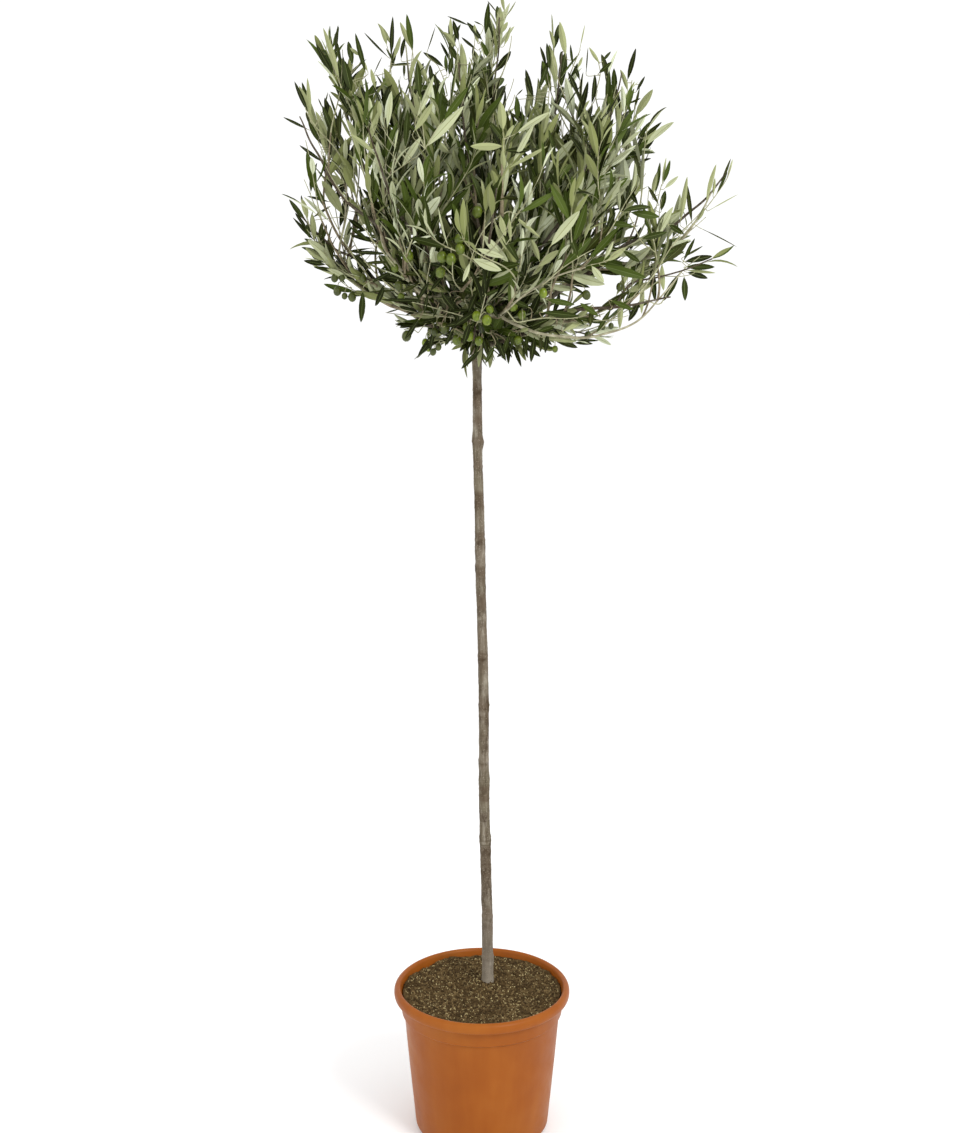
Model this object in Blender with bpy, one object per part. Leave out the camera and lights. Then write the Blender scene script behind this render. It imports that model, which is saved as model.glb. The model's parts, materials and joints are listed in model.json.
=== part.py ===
"""Potted olive tree: a standard olive with a clear stem and an open crown, in a plain plastic pot.

Metres, +Z up. The origin is the centre of the pot's flat underside, and the front is -Y.
"""
import math
import random

import bmesh
import bpy
from mathutils import Vector

# ---- driving sizes -------------------------------------------------------------------------
GAP = 0.0003               # clearance between pieces that touch on the real plant

POT_HEIGHT = 0.232
RIM_RADIUS = 0.140
FOOT_RADIUS = 0.1065       # outside, where the wall turns into the underside
WALL = 0.0026
FLOOR = 0.0032
LIP_DEPTH = 0.0155         # rolled lip, crest to lower edge
NECK_RADIUS = 0.1276       # plain band below the lip
LEDGE_DROP = 0.042         # crest of the lip down to the small ledge
WALL_TOP_RADIUS = 0.1236   # wall just below the ledge
TURNS = 36                 # sides of the turned pieces
DRAIN_HOLES = 6
DRAIN_RADIUS = 0.006
DRAIN_CIRCLE = 0.068

SOIL_DROP = 0.0105         # crest of the lip down to the soil

FOOT = Vector((0.0095, 0.027))       # where the trunk leaves the soil
TRUNK_TOP = 1.300
TRUNK_LEAN = -0.0112                 # sideways travel of the straight lower stem
TRUNK_KINK = -0.0058                 # sideways step of the bend near the crown
KINK_SPAN = (0.66, 0.82)             # where that bend lies, as a share of the stem
TRUNK_DEPTH_LEAN = -0.017            # travel towards the front
TRUNK_RADIUS = (0.0088, 0.0064)      # above the flare, and at the fork
FLARE = 0.0016                       # extra radius of the root flare at the soil
FLARE_HEIGHT = 0.045

BOUGH_SIDES = 7
SIDE_WIDTH = 0.72          # half width of a mass's side plumes, as a share of its own
MASS_TRIANGLES = 215       # before its neighbours are cut away

# Each mass of foliage rises from an inner point to an outer tip: (x, y, z), (x, y, z), half width
MASSES = {
    "foliage_heart": ((-0.006, 0.008, 1.335), (0.002, 0.004, 1.570), 0.078),
    "foliage_top": ((0.000, 0.000, 1.500), (0.030, 0.000, 1.785), 0.043),
    "foliage_top_left": ((-0.056, -0.012, 1.420), (-0.120, -0.020, 1.748), 0.055),
    "foliage_top_right": ((0.074, 0.012, 1.420), (0.125, 0.002, 1.740), 0.051),
    "foliage_left_high": ((-0.122, 0.042, 1.400), (-0.236, 0.040, 1.735), 0.044),
    "foliage_left": ((-0.125, -0.050, 1.385), (-0.280, -0.062, 1.630), 0.041),
    "foliage_left_low": ((-0.160, -0.004, 1.362), (-0.280, -0.028, 1.462), 0.034),
    "foliage_right_high": ((0.114, -0.034, 1.400), (0.214, -0.028, 1.702), 0.056),
    "foliage_right": ((0.132, 0.052, 1.385), (0.256, 0.064, 1.604), 0.047),
    "foliage_right_arm": ((0.176, -0.012, 1.372), (0.384, -0.030, 1.535), 0.035),
    "foliage_right_tip": ((0.200, -0.064, 1.345), (0.352, -0.074, 1.392), 0.035),
    "foliage_right_low": ((0.086, -0.094, 1.304), (0.290, -0.122, 1.336), 0.036),
    "foliage_under_right": ((0.012, -0.036, 1.296), (0.180, -0.042, 1.264), 0.036),
    "foliage_under_left": ((-0.024, -0.002, 1.294), (-0.186, -0.016, 1.334), 0.042),
    "foliage_under_front": ((-0.006, -0.026, 1.300), (-0.012, -0.128, 1.262), 0.034),
    "foliage_under_back": ((0.004, 0.046, 1.304), (0.020, 0.150, 1.272), 0.036),
    "foliage_front": ((0.000, -0.078, 1.340), (0.020, -0.272, 1.506), 0.058),
    "foliage_front_left": ((-0.072, -0.078, 1.366), (-0.166, -0.210, 1.604), 0.057),
    "foliage_front_right": ((0.080, -0.080, 1.366), (0.166, -0.204, 1.610), 0.057),
    "foliage_front_high": ((-0.008, -0.078, 1.460), (-0.034, -0.166, 1.694), 0.052),
    "foliage_back": ((-0.002, 0.094, 1.345), (-0.012, 0.276, 1.512), 0.058),
    "foliage_back_left": ((-0.076, 0.098, 1.372), (-0.172, 0.212, 1.616), 0.057),
    "foliage_back_right": ((0.080, 0.098, 1.372), (0.178, 0.210, 1.604), 0.057),
    "foliage_back_high": ((0.010, 0.094, 1.460), (-0.010, 0.172, 1.700), 0.053),
}

# Each bough leaves the stem at a height and runs into a mass: (height, mass, radius, rise)
BOUGHS = {
    "bough_leader": (1.292, "foliage_heart", 0.0056, 0.5),
    "bough_left": (1.262, "foliage_left", 0.0050, 0.25),
    "bough_left_low": (1.236, "foliage_left_low", 0.0046, 0.15),
    "bough_left_back": (1.284, "foliage_left_high", 0.0046, 0.35),
    "bough_right": (1.272, "foliage_right_arm", 0.0050, 0.30),
    "bough_right_low": (1.232, "foliage_right_low", 0.0046, 0.10),
    "bough_right_back": (1.256, "foliage_right", 0.0046, 0.30),
    "bough_front": (1.252, "foliage_front", 0.0046, 0.20),
    "bough_front_left": (1.276, "foliage_front_left", 0.0042, 0.35),
    "bough_front_right": (1.286, "foliage_front_right", 0.0042, 0.35),
    "bough_back": (1.240, "foliage_back", 0.0046, 0.20),
    "bough_back_left": (1.264, "foliage_back_left", 0.0042, 0.35),
    "bough_back_right": (1.280, "foliage_back_right", 0.0042, 0.35),
}
BOUGH_TIP = 0.62           # radius at the far end, as a share of the near end

FLAT = math.radians(0.6)   # faces within this angle are merged after cutting
SOIL_LEVEL = POT_HEIGHT - SOIL_DROP


# ---- helpers -------------------------------------------------------------------------------
def material(name, colour, roughness):
    """A plain Principled material."""
    mat = bpy.data.materials.new(name)
    mat.use_nodes = True
    shader = mat.node_tree.nodes["Principled BSDF"]
    shader.inputs["Base Color"].default_value = (*colour, 1.0)
    shader.inputs["Roughness"].default_value = roughness
    mat.diffuse_color = (*colour, 1.0)
    return mat


def add_object(name, verts, faces, mat):
    """A mesh object of triangles with its faces turned outward."""
    mesh = bpy.data.meshes.new(name)
    mesh.from_pydata([tuple(v) for v in verts], [], faces)
    bm = bmesh.new()
    bm.from_mesh(mesh)
    bmesh.ops.triangulate(bm, faces=bm.faces)
    bmesh.ops.recalc_face_normals(bm, faces=bm.faces)
    bm.to_mesh(mesh)
    bm.free()
    mesh.materials.append(mat)
    obj = bpy.data.objects.new(name, mesh)
    bpy.context.collection.objects.link(obj)
    return obj


def turned(name, profile, mat):
    """A solid turned about +Z from (radius, height) pairs that start and end on the axis."""
    verts, rings = [], []
    for r, z in profile:
        if r == 0.0:
            rings.append([len(verts)] * TURNS)
            verts.append((0.0, 0.0, z))
            continue
        rings.append(list(range(len(verts), len(verts) + TURNS)))
        verts += [(r * math.cos(a), r * math.sin(a), z)
                  for a in (2 * math.pi * k / TURNS for k in range(TURNS))]
    return add_object(name, verts, bridged(rings, TURNS), mat)


def bridged(rings, sides):
    """The faces between neighbouring rings of indices; a ring of one index is a pole."""
    faces = []
    for low, high in zip(rings, rings[1:]):
        for k in range(sides):
            n = (k + 1) % sides
            loop = dict.fromkeys((low[k], low[n], high[n], high[k]))
            faces.append(tuple(loop))
    return faces


def frame_along(points):
    """For each point of a path, two unit vectors across it that don't spin on the way."""
    side = None
    frames = []
    for i in range(len(points)):
        ahead = (points[min(i + 1, len(points) - 1)] - points[max(i - 1, 0)]).normalized()
        if side is None:
            side = ahead.cross(Vector((0.31, 0.95, 0.11))).normalized()
        side = (side - ahead * side.dot(ahead)).normalized()
        frames.append((side, ahead.cross(side)))
    return frames


def swept(name, points, radius_at, sides, mat, poles=None):
    """A closed solid swept along points, with radius_at(share, angle), capped or drawn to poles."""
    verts, rings = [], []
    if poles:
        rings.append([0] * sides)
        verts.append(poles[0])
    last = len(points) - 1
    for i, (centre, (u, v)) in enumerate(zip(points, frame_along(points))):
        rings.append(list(range(len(verts), len(verts) + sides)))
        for k in range(sides):
            a = 2 * math.pi * k / sides
            r = radius_at(i / last, a)
            verts.append(centre + u * (r * math.cos(a)) + v * (r * math.sin(a)))
    if poles:
        rings.append([len(verts)] * sides)
        verts.append(poles[1])
    faces = bridged(rings, sides)
    if not poles:
        faces += [tuple(reversed(rings[0])), tuple(rings[-1])]
    return add_object(name, verts, faces, mat)


def bend(start, knee, end, t):
    """A point on the curve from start to end that is drawn towards knee."""
    return start * (1 - t) ** 2 + knee * (2 * t * (1 - t)) + end * t ** 2


def smooth_step(low, high, x):
    t = min(max((x - low) / (high - low), 0.0), 1.0)
    return t * t * (3 - 2 * t)


def grown_copy(obj, by):
    """A copy of a solid with its skin moved out, to cut its neighbours with."""
    cutter = bpy.data.objects.new("cutter_" + obj.name, obj.data.copy())
    bpy.context.collection.objects.link(cutter)
    cutter.hide_render = True
    cutter.display_type = "WIRE"
    bm = bmesh.new()
    bm.from_mesh(cutter.data)
    bmesh.ops.triangulate(bm, faces=bm.faces)
    bm.normal_update()
    moves = []
    for vert in bm.verts:
        flattest = min(vert.normal.dot(face.normal) for face in vert.link_faces)
        moves.append(vert.normal * (by / max(flattest, 0.4)))
    for vert, move in zip(bm.verts, moves):
        vert.co += move
    bm.to_mesh(cutter.data)
    bm.free()
    return cutter


def boxes_meet(a, b):
    """Whether the boxes round two objects overlap."""
    for axis in range(3):
        one = [v.co[axis] for v in a.data.vertices]
        two = [v.co[axis] for v in b.data.vertices]
        if max(one) < min(two) or max(two) < min(one):
            return False
    return True


def settle(obj):
    """Make the result of an object's modifiers its mesh."""
    bpy.context.view_layer.update()
    done = obj.evaluated_get(bpy.context.evaluated_depsgraph_get())
    mesh = bpy.data.meshes.new_from_object(done)
    obj.modifiers.clear()
    obj.data = mesh


def combine(obj, other, how):
    """Join two solids into one, or take the other away."""
    mod = obj.modifiers.new("combine", "BOOLEAN")
    mod.operation = how
    mod.solver = "EXACT"
    mod.object = other
    settle(obj)


def thin_out(obj, triangles):
    """Bring a solid down to about so many triangles."""
    tri = obj.modifiers.new("triangles", "TRIANGULATE")
    tri.min_vertices = 4
    thin = obj.modifiers.new("thin", "DECIMATE")
    thin.ratio = triangles / sum(len(p.vertices) - 2 for p in obj.data.polygons)
    settle(obj)


def cut_by(obj, cutters, keep_near):
    """Take the cutters away from a solid and keep the lump nearest to a point."""
    for cutter in (c for c in cutters if boxes_meet(obj, c)):
        combine(obj, cutter, "DIFFERENCE")
    keep_lump(obj, keep_near)


def keep_lump(obj, point):
    """Drop every lump of a mesh but the one that comes nearest to a point."""
    bm = bmesh.new()
    bm.from_mesh(obj.data)
    left, lumps = set(bm.verts), []
    while left:
        lump, edge = set(), [next(iter(left))]
        while edge:
            vert = edge.pop()
            if vert in lump:
                continue
            lump.add(vert)
            edge += [e.other_vert(vert) for e in vert.link_edges]
        lumps.append(lump)
        left -= lump
    kept = min(lumps, key=lambda lump: min((v.co - point).length for v in lump))
    bmesh.ops.delete(bm, geom=[v for v in bm.verts if v not in kept], context="VERTS")
    bmesh.ops.dissolve_limit(bm, angle_limit=FLAT, verts=bm.verts, edges=bm.edges)
    bmesh.ops.dissolve_degenerate(bm, edges=bm.edges, dist=0.00005)
    bmesh.ops.triangulate(bm, faces=bm.faces)
    bm.to_mesh(obj.data)
    bm.free()


# ---- pot and soil --------------------------------------------------------------------------
def pot_inside(z):
    """Inner radius of the pot at a height."""
    top = POT_HEIGHT - LEDGE_DROP
    if z > top:
        share = (z - top) / (LEDGE_DROP - LIP_DEPTH)
        return WALL_TOP_RADIUS - WALL + (NECK_RADIUS - WALL_TOP_RADIUS + 0.0016) * min(share, 1.0)
    share = (z - FLOOR) / (top - FLOOR)
    return FOOT_RADIUS - WALL + (WALL_TOP_RADIUS - FOOT_RADIUS) * share


def make_pot(mat):
    top = POT_HEIGHT - LEDGE_DROP
    lip = POT_HEIGHT - LIP_DEPTH
    outside = [
        (0.0, 0.0), (FOOT_RADIUS - 0.0105, 0.0), (FOOT_RADIUS - 0.0045, 0.0022),
        (FOOT_RADIUS - 0.0008, 0.0072), (FOOT_RADIUS, 0.0135),
        (WALL_TOP_RADIUS, top - 0.0015), (WALL_TOP_RADIUS + 0.0018, top),
        (NECK_RADIUS, top + 0.0015), (NECK_RADIUS + 0.0018, lip - 0.0010),
        (RIM_RADIUS - 0.0042, lip - 0.0006), (RIM_RADIUS - 0.0012, lip + 0.0020),
        (RIM_RADIUS, lip + 0.0060), (RIM_RADIUS - 0.0004, lip + 0.0105),
        (RIM_RADIUS - 0.0030, POT_HEIGHT - 0.0014), (RIM_RADIUS - 0.0068, POT_HEIGHT),
        (RIM_RADIUS - 0.0100, POT_HEIGHT - 0.0018),
    ]
    inside = [
        (pot_inside(lip), lip), (pot_inside(top), top),
        (pot_inside(FLOOR + 0.006), FLOOR + 0.006), (pot_inside(FLOOR) - 0.005, FLOOR),
        (0.0, FLOOR),
    ]
    pot = turned("pot", outside + inside, mat)
    for k in range(DRAIN_HOLES):
        a = 2 * math.pi * (k + 0.5) / DRAIN_HOLES
        centre = Vector((DRAIN_CIRCLE * math.cos(a), DRAIN_CIRCLE * math.sin(a), 0.0))
        path = [centre + Vector((0, 0, z)) for z in (-FLOOR, 2 * FLOOR)]
        drill = swept("drill", path, lambda s, b: DRAIN_RADIUS, 10, mat)
        cut_by(pot, [drill], Vector((RIM_RADIUS, 0, POT_HEIGHT)))
        bpy.data.objects.remove(drill)
    return pot


def make_soil(mat):
    top = POT_HEIGHT - LEDGE_DROP
    heights = (FLOOR + 0.006, top, SOIL_LEVEL)
    profile = [(0.0, FLOOR + GAP), (pot_inside(FLOOR) - 0.005 - GAP, FLOOR + GAP)]
    profile += [(pot_inside(z) - 1.3 * GAP, z) for z in heights]
    profile += [(0.0, SOIL_LEVEL)]
    return turned("soil", profile, mat)


# ---- trunk and boughs ----------------------------------------------------------------------
def trunk_centre(z):
    """Centre of the trunk at a height."""
    u = (z - SOIL_LEVEL) / (TRUNK_TOP - SOIL_LEVEL)
    x = FOOT.x + TRUNK_LEAN * min(u / KINK_SPAN[0], 1.0)
    x += TRUNK_KINK * smooth_step(*KINK_SPAN, u) + 0.0009 * math.sin(17.0 * u)
    y = FOOT.y + TRUNK_DEPTH_LEAN * u + 0.0016 * math.sin(9.0 * u)
    return Vector((x, y, z))


def trunk_radius(z):
    """Radius of the trunk at a height: taper, root flare, old knots and a slight swell at the fork."""
    u = (z - SOIL_LEVEL) / (TRUNK_TOP - SOIL_LEVEL)
    radius = TRUNK_RADIUS[0] + (TRUNK_RADIUS[1] - TRUNK_RADIUS[0]) * max(u, 0.0) ** 1.6
    radius += FLARE * math.exp(-(z - SOIL_LEVEL) / (0.35 * FLARE_HEIGHT))
    for knot in (0.46, 0.56, 0.93, 1.105):
        radius += 0.0009 * math.exp(-((z - knot) / 0.012) ** 2)
    return radius + 0.0022 * math.exp(-((z - 1.262) / 0.034) ** 2)


def make_trunk(mat):
    foot = SOIL_LEVEL + GAP
    heights = [foot, foot + 0.010, foot + 0.022, foot + 0.040]
    steps = 17
    heights += [foot + 0.040 + (TRUNK_TOP - foot - 0.040) * (i + 1) / steps for i in range(steps)]
    points = [trunk_centre(z) for z in heights]

    def radius_at(share, angle):
        z = heights[round(share * (len(heights) - 1))]
        low = math.exp(-(z - SOIL_LEVEL) / FLARE_HEIGHT)
        return trunk_radius(z) * (1 + 0.10 * low * math.sin(3 * angle + 0.6))
    return swept("trunk", points, radius_at, 10, mat)


def make_bough(name, mat):
    height, mass, radius, rise = BOUGHS[name]
    start = trunk_centre(height)
    inner, outer, width = MASSES[mass]
    goal = Vector(inner).lerp(Vector(outer), 0.22)
    reach = goal - start
    knee = start + Vector((reach.x * 0.5, reach.y * 0.5, reach.z * rise))
    if name == "bough_leader":
        start = trunk_centre(TRUNK_TOP) + Vector((0, 0, GAP))
        knee = start.lerp(goal, 0.5)
    points = [bend(start, knee, goal, i / 7) for i in range(8)]
    return swept(name, points, lambda s, a: radius * (1 - (1 - BOUGH_TIP) * s), BOUGH_SIDES, mat)


# ---- foliage -------------------------------------------------------------------------------
def make_plume(name, start, knee, end, width, sides, rings, rng, mat):
    """A blunt, knobbly spindle along a bent axis."""
    phase = [rng.uniform(0, 2 * math.pi) for _ in range(4)]
    lobes = rng.choice((2, 3))

    def radius_at(share, angle):
        body = (1 - abs(2 * (0.07 + 0.86 * share) ** 0.92 - 1) ** 2.3) ** 0.6
        uneven = 1 + 0.13 * math.sin(lobes * angle + phase[0] + 2.4 * share)
        uneven += 0.10 * math.sin(5 * angle + phase[1] - 4.5 * share)
        uneven += 0.08 * math.sin(9.5 * share + phase[2]) + 0.05 * math.sin(angle + phase[3])
        return width * body * uneven
    path = [bend(start, knee, end, 0.07 + 0.87 * i / (rings - 1)) for i in range(rings)]
    return swept(name, path, radius_at, sides, mat, poles=(start, end))


def make_mass(name, order, mat):
    """An uneven clump: a main plume that turns up to its tip, with a smaller one on each side."""
    inner, outer, width = MASSES[name]
    inner, outer = Vector(inner), Vector(outer)
    rng = random.Random(100 + order)
    travel = outer - inner
    knee = inner + Vector((travel.x * 0.66, travel.y * 0.66, travel.z * 0.36))
    mass = make_plume(name, inner, knee, outer, width, 9, 6, rng, mat)
    across = travel.cross(Vector((travel.y, -travel.x, 0.0)).cross(travel)).normalized()
    for side in (-1, 1):
        fork = rng.uniform(0.22, 0.40)
        start = bend(inner, knee, outer, fork)
        length = travel.length * rng.uniform(0.46, 0.60)
        out = (travel.normalized() + across * (side * rng.uniform(0.55, 0.85))).normalized()
        end = start + out * length
        mid = start.lerp(end, 0.5) + across * (side * 0.12 * length)
        twin = make_plume("side", start, mid, end, width * SIDE_WIDTH, 7, 4, rng, mat)
        combine(mass, twin, "UNION")
        bpy.data.objects.remove(twin)
    thin_out(mass, MASS_TRIANGLES)
    return mass


# ---- build ---------------------------------------------------------------------------------
def build():
    for old in list(bpy.data.objects):
        bpy.data.objects.remove(old)

    plastic = material("terracotta_plastic", (0.38, 0.115, 0.024), 0.42)
    compost = material("compost", (0.055, 0.036, 0.018), 0.95)
    bark = material("bark", (0.21, 0.17, 0.125), 0.85)
    leaf = material("leaf", (0.10, 0.125, 0.052), 0.7)

    make_pot(plastic)
    make_soil(compost)
    trunk = make_trunk(bark)

    cutters = [grown_copy(trunk, GAP)]
    for order, name in enumerate(MASSES):
        mass = make_mass(name, order, leaf)
        cutter = grown_copy(mass, GAP)
        inner, outer, _ = MASSES[name]
        cut_by(mass, cutters, Vector(inner).lerp(Vector(outer), 0.75))
        cutters.append(cutter)
    for name in BOUGHS:
        bough = make_bough(name, bark)
        cutter = grown_copy(bough, GAP)
        cut_by(bough, cutters, trunk_centre(BOUGHS[name][0]))
        cutters.append(cutter)
    for cutter in cutters:
        bpy.data.objects.remove(cutter)


build()
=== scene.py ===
# %% [markdown]
# # A potted olive tree
# This lesson dresses a packed model of a young standard olive: a pot, compost, a slim stem, limbs
# and an airy crown. The packed model says where everything is. Here each plain solid is replaced
# by a piece with the shape and finish of the real thing, at the same place.

# %% Load the packed model
import json
import math

import bpy
import numpy as np
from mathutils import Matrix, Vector, noise
from mathutils.bvhtree import BVHTree

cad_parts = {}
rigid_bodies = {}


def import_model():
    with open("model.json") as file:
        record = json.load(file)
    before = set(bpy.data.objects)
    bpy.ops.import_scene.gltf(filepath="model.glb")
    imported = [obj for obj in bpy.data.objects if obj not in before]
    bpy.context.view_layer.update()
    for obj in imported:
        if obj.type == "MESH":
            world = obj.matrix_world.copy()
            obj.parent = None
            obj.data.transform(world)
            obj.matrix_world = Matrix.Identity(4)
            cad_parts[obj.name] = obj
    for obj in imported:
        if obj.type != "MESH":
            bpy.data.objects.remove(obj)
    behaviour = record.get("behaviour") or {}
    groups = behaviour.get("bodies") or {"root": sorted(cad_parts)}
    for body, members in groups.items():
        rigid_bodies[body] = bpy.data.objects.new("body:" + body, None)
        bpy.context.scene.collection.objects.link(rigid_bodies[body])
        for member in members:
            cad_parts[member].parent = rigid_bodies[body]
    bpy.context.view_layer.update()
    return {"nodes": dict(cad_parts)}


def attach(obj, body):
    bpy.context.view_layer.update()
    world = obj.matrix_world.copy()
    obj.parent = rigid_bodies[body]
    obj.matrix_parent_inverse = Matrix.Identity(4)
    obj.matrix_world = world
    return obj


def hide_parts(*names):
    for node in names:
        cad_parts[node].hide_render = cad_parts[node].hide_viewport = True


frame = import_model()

print("solids in the model:", len(frame["nodes"]))

# %% [markdown]
# ## Camera
# The camera comes first. It stands 2.5 m off, level with the crown, and looks slightly down.
# A small vertical shift frames the tall plant without tipping the camera further.

# %% Camera
eye = bpy.data.cameras.new("eye")
eye.sensor_width = 36.0
eye.lens = 51.77
eye.shift_x, eye.shift_y = 0.0028, -0.12
camera = bpy.data.objects.new("eye", eye)
camera.location = (0.0, -2.4821, 1.4146)
camera.rotation_euler = (math.radians(90 - 6.72), 0.0, 0.0)
bpy.context.collection.objects.link(camera)
bpy.context.scene.camera = camera
bpy.context.scene.view_settings.view_transform = "Standard"
print("camera at", tuple(camera.location))

# %% [markdown]
# ## Small tools for materials
# A finish is a graph of nodes. One helper adds a node to any tree, with a value or a wire for each
# input. On top of it a finish has a few steps: noise, a colour ramp, one colour over another and a
# bump. Everyday colour numbers are turned into the linear ones that a shader wants.

# %% Colours and nodes
def tone(r, g, b):
    """Linear colour from everyday 0-255 numbers."""
    return tuple(((c / 255 + 0.055) / 1.055) ** 2.4 if c > 10 else c / 3295 for c in (r, g, b)) + (1.0,)


def grey(value):
    return (value, value, value, 1.0)


def wire(tree, socket, value):
    """Link an output, or a node's first output, to an input, or set the input to a value."""
    if isinstance(value, bpy.types.Node):
        value = value.outputs[0]
    if isinstance(value, bpy.types.NodeSocket):
        tree.links.new(value, socket)
    else:
        socket.default_value = value


def add(tree, kind, inputs=(), **settings):
    """A new node with its settings, and a value or a wire for each of the inputs given."""
    node = tree.nodes.new(kind)
    for name, value in settings.items():
        setattr(node, name, value)
    for name, value in dict(inputs).items():
        wire(tree, node.inputs[name], value)
    return node


print("a clay brown, as a shader wants it:", [round(c, 3) for c in tone(142, 75, 16)])

# %% Steps of a finish
class Finish:
    """A material in the making. Each step adds a node and gives back what comes out of it."""

    def __init__(self, name, colour, roughness, specular=0.5):
        self.mat = bpy.data.materials.new(name)
        self.mat.use_nodes = True
        self.tree = self.mat.node_tree
        self.shader = self.tree.nodes["Principled BSDF"]
        self.give("Base Color", colour)
        self.give("Roughness", roughness)
        self.give("Specular IOR Level", specular)

    def give(self, socket, value):
        wire(self.tree, self.shader.inputs[socket], value)

    def place(self, stretch=(1, 1, 1)):
        """Object coordinates, stretched."""
        where = add(self.tree, "ShaderNodeTexCoord").outputs["Object"]
        return add(self.tree, "ShaderNodeMapping", {"Vector": where, "Scale": stretch})

    def grain(self, scale, detail=4.0, rough=0.55, stretch=(1, 1, 1)):
        """A cloud of noise, 0 to 1."""
        return add(self.tree, "ShaderNodeTexNoise", {
            "Vector": self.place(stretch), "Scale": scale, "Detail": detail, "Roughness": rough})

    def ramp(self, value, *stops):
        """Colours at places along a value."""
        node = add(self.tree, "ShaderNodeValToRGB", {"Fac": value})
        marks = node.color_ramp.elements
        while len(marks) < len(stops):
            marks.new(0.5)
        for mark, (place, colour) in zip(marks, stops):
            mark.position, mark.color = place, colour
        return node

    def part(self, value, share):
        """A value made weaker."""
        return add(self.tree, "ShaderNodeMath", {0: value, 1: share}, operation="MULTIPLY")

    def over(self, under, over, how_much):
        """One colour laid over another where a value is high."""
        return add(self.tree, "ShaderNodeMix", {"Factor": how_much, "A": under, "B": over},
                   data_type="RGBA").outputs["Result"]

    def bump(self, height, distance, strength):
        """Shape too fine to model, from a height."""
        self.give("Normal", add(self.tree, "ShaderNodeBump", {
            "Height": height, "Distance": distance, "Strength": strength}))


print("steps of a finish:", [step for step in vars(Finish) if not step.startswith("_")])

# %% [markdown]
# ## Small tools for shapes
# Nearly everything on a plant is a tube or a skin over rings of points, so three helpers do most of
# the work: one builds an object from arrays, one closes a stack of rings with a point at each end,
# and one sweeps rings along a path.

# %% Meshes from arrays
def build(name, verts, faces, materials, tags=None, smooth=True):
    """A mesh object at the origin, its place in its mesh."""
    mesh = bpy.data.meshes.new(name)
    mesh.from_pydata(np.asarray(verts, float).tolist(), [], [tuple(map(int, f)) for f in faces])
    for mat in materials:
        mesh.materials.append(mat)
    if tags is not None:
        mesh.polygons.foreach_set("material_index", np.asarray(tags, np.int32))
    if smooth:
        mesh.shade_smooth()
    mesh.update()
    obj = bpy.data.objects.new(name, mesh)
    bpy.context.collection.objects.link(obj)
    return obj


def ring_faces(count, sides):
    """Quads between rings that lie one after another in the vertex list."""
    i, k = np.meshgrid(np.arange(count - 1), np.arange(sides), indexing="ij")
    n = (k + 1) % sides
    here, above = i * sides, (i + 1) * sides
    return np.stack([here + k, here + n, above + n, above + k], -1).reshape(-1, 4)


def closed(rings, first, last):
    """A closed skin: rings one after another, and the points that close its first and last ring."""
    count, sides = rings.shape[:2]
    faces = ring_faces(count, sides).tolist()
    n, end = count * sides, (count - 1) * sides
    for k in range(sides):
        j = (k + 1) % sides
        faces += [(n, j, k), (n + 1, end + k, end + j)]
    return np.concatenate([rings.reshape(-1, 3), [first, last]]), faces


def around(sides):
    """Angles evenly spaced round a ring."""
    return np.linspace(0, 2 * math.pi, sides, endpoint=False)


print("faces of 3 rings of 8, closed:", len(closed(np.zeros((3, 8, 3)), (0, 0, 0), (0, 0, 0))[1]))

# %% Lines and tubes
def unit(v):
    return v / np.linalg.norm(v)


def line_run(path):
    """How far along a path each of its points lies."""
    return np.concatenate([[0], np.cumsum(np.linalg.norm(np.diff(path, axis=0), axis=1))])


def ways_along(path):
    """Unit vectors ahead along a path."""
    ahead = np.gradient(path, axis=0)
    return ahead / np.linalg.norm(ahead, axis=1)[:, None]


def frames_along(path):
    """Unit vectors ahead and across a path at each point, turned as little as possible."""
    ahead = ways_along(path)
    side = np.cross(ahead[0], (0.31, 0.95, 0.11))
    sides = []
    for a in ahead:
        side = side - a * side.dot(a)
        side = side / np.linalg.norm(side)
        sides.append(side)
    sides = np.array(sides)
    return ahead, sides, np.cross(ahead, sides)


def tube(path, radius, sides):
    """Rings round a path; radius is (points,) or (points, sides). Closed with a point at each end."""
    _, u, v = frames_along(path)
    a = around(sides)
    radius = radius[:, None] if radius.ndim == 1 else radius
    across = u[:, None] * np.cos(a)[None, :, None] + v[:, None] * np.sin(a)[None, :, None]
    return closed(path[:, None] + across * radius[..., None], path[0], path[-1])


def joined(parts):
    """Several (verts, faces) as one."""
    verts, faces, start = [], [], 0
    for v, f in parts:
        verts.append(v)
        faces += [tuple(i + start for i in face) for face in f]
        start += len(v)
    return np.concatenate(verts), faces


print("run of a line with a corner:", line_run(np.array([(0, 0, 0), (0.3, 0, 0), (0.3, 0.4, 0)])))

# %% Smooth lines
def curve(points, count):
    """A smooth path of so many points through the given ones."""
    p = np.asarray(points, float)
    p = np.concatenate([2 * p[:1] - p[1:2], p, 2 * p[-1:] - p[-2:-1]])
    out = []
    for s in np.linspace(0, len(p) - 3 - 1e-6, count):
        i, t = int(s), s - int(s)
        a, b, c, d = p[i:i + 4]
        out.append(0.5 * (2 * b + (c - a) * t + (2 * a - 5 * b + 4 * c - d) * t ** 2
                          + (3 * b - a - 3 * c + d) * t ** 3))
    return np.array(out)


def bend(start, knee, end, t):
    """Points on the curve from start to end that is drawn towards knee."""
    t = np.asarray(t, float)[:, None]
    return np.asarray(start) * (1 - t) ** 2 + np.asarray(knee) * 2 * t * (1 - t) + np.asarray(end) * t ** 2


print("half way round a bend:", bend((0, 0, 0), (1, 0, 0), (1, 1, 0), [0.5])[0])

# %% [markdown]
# ## Small tools for node trees
# Twigs follow paths and crumbs lie on a surface, which is what Geometry Nodes do well. A tree is
# built in code with named inputs, used once, and its result is kept as a plain mesh.

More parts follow.
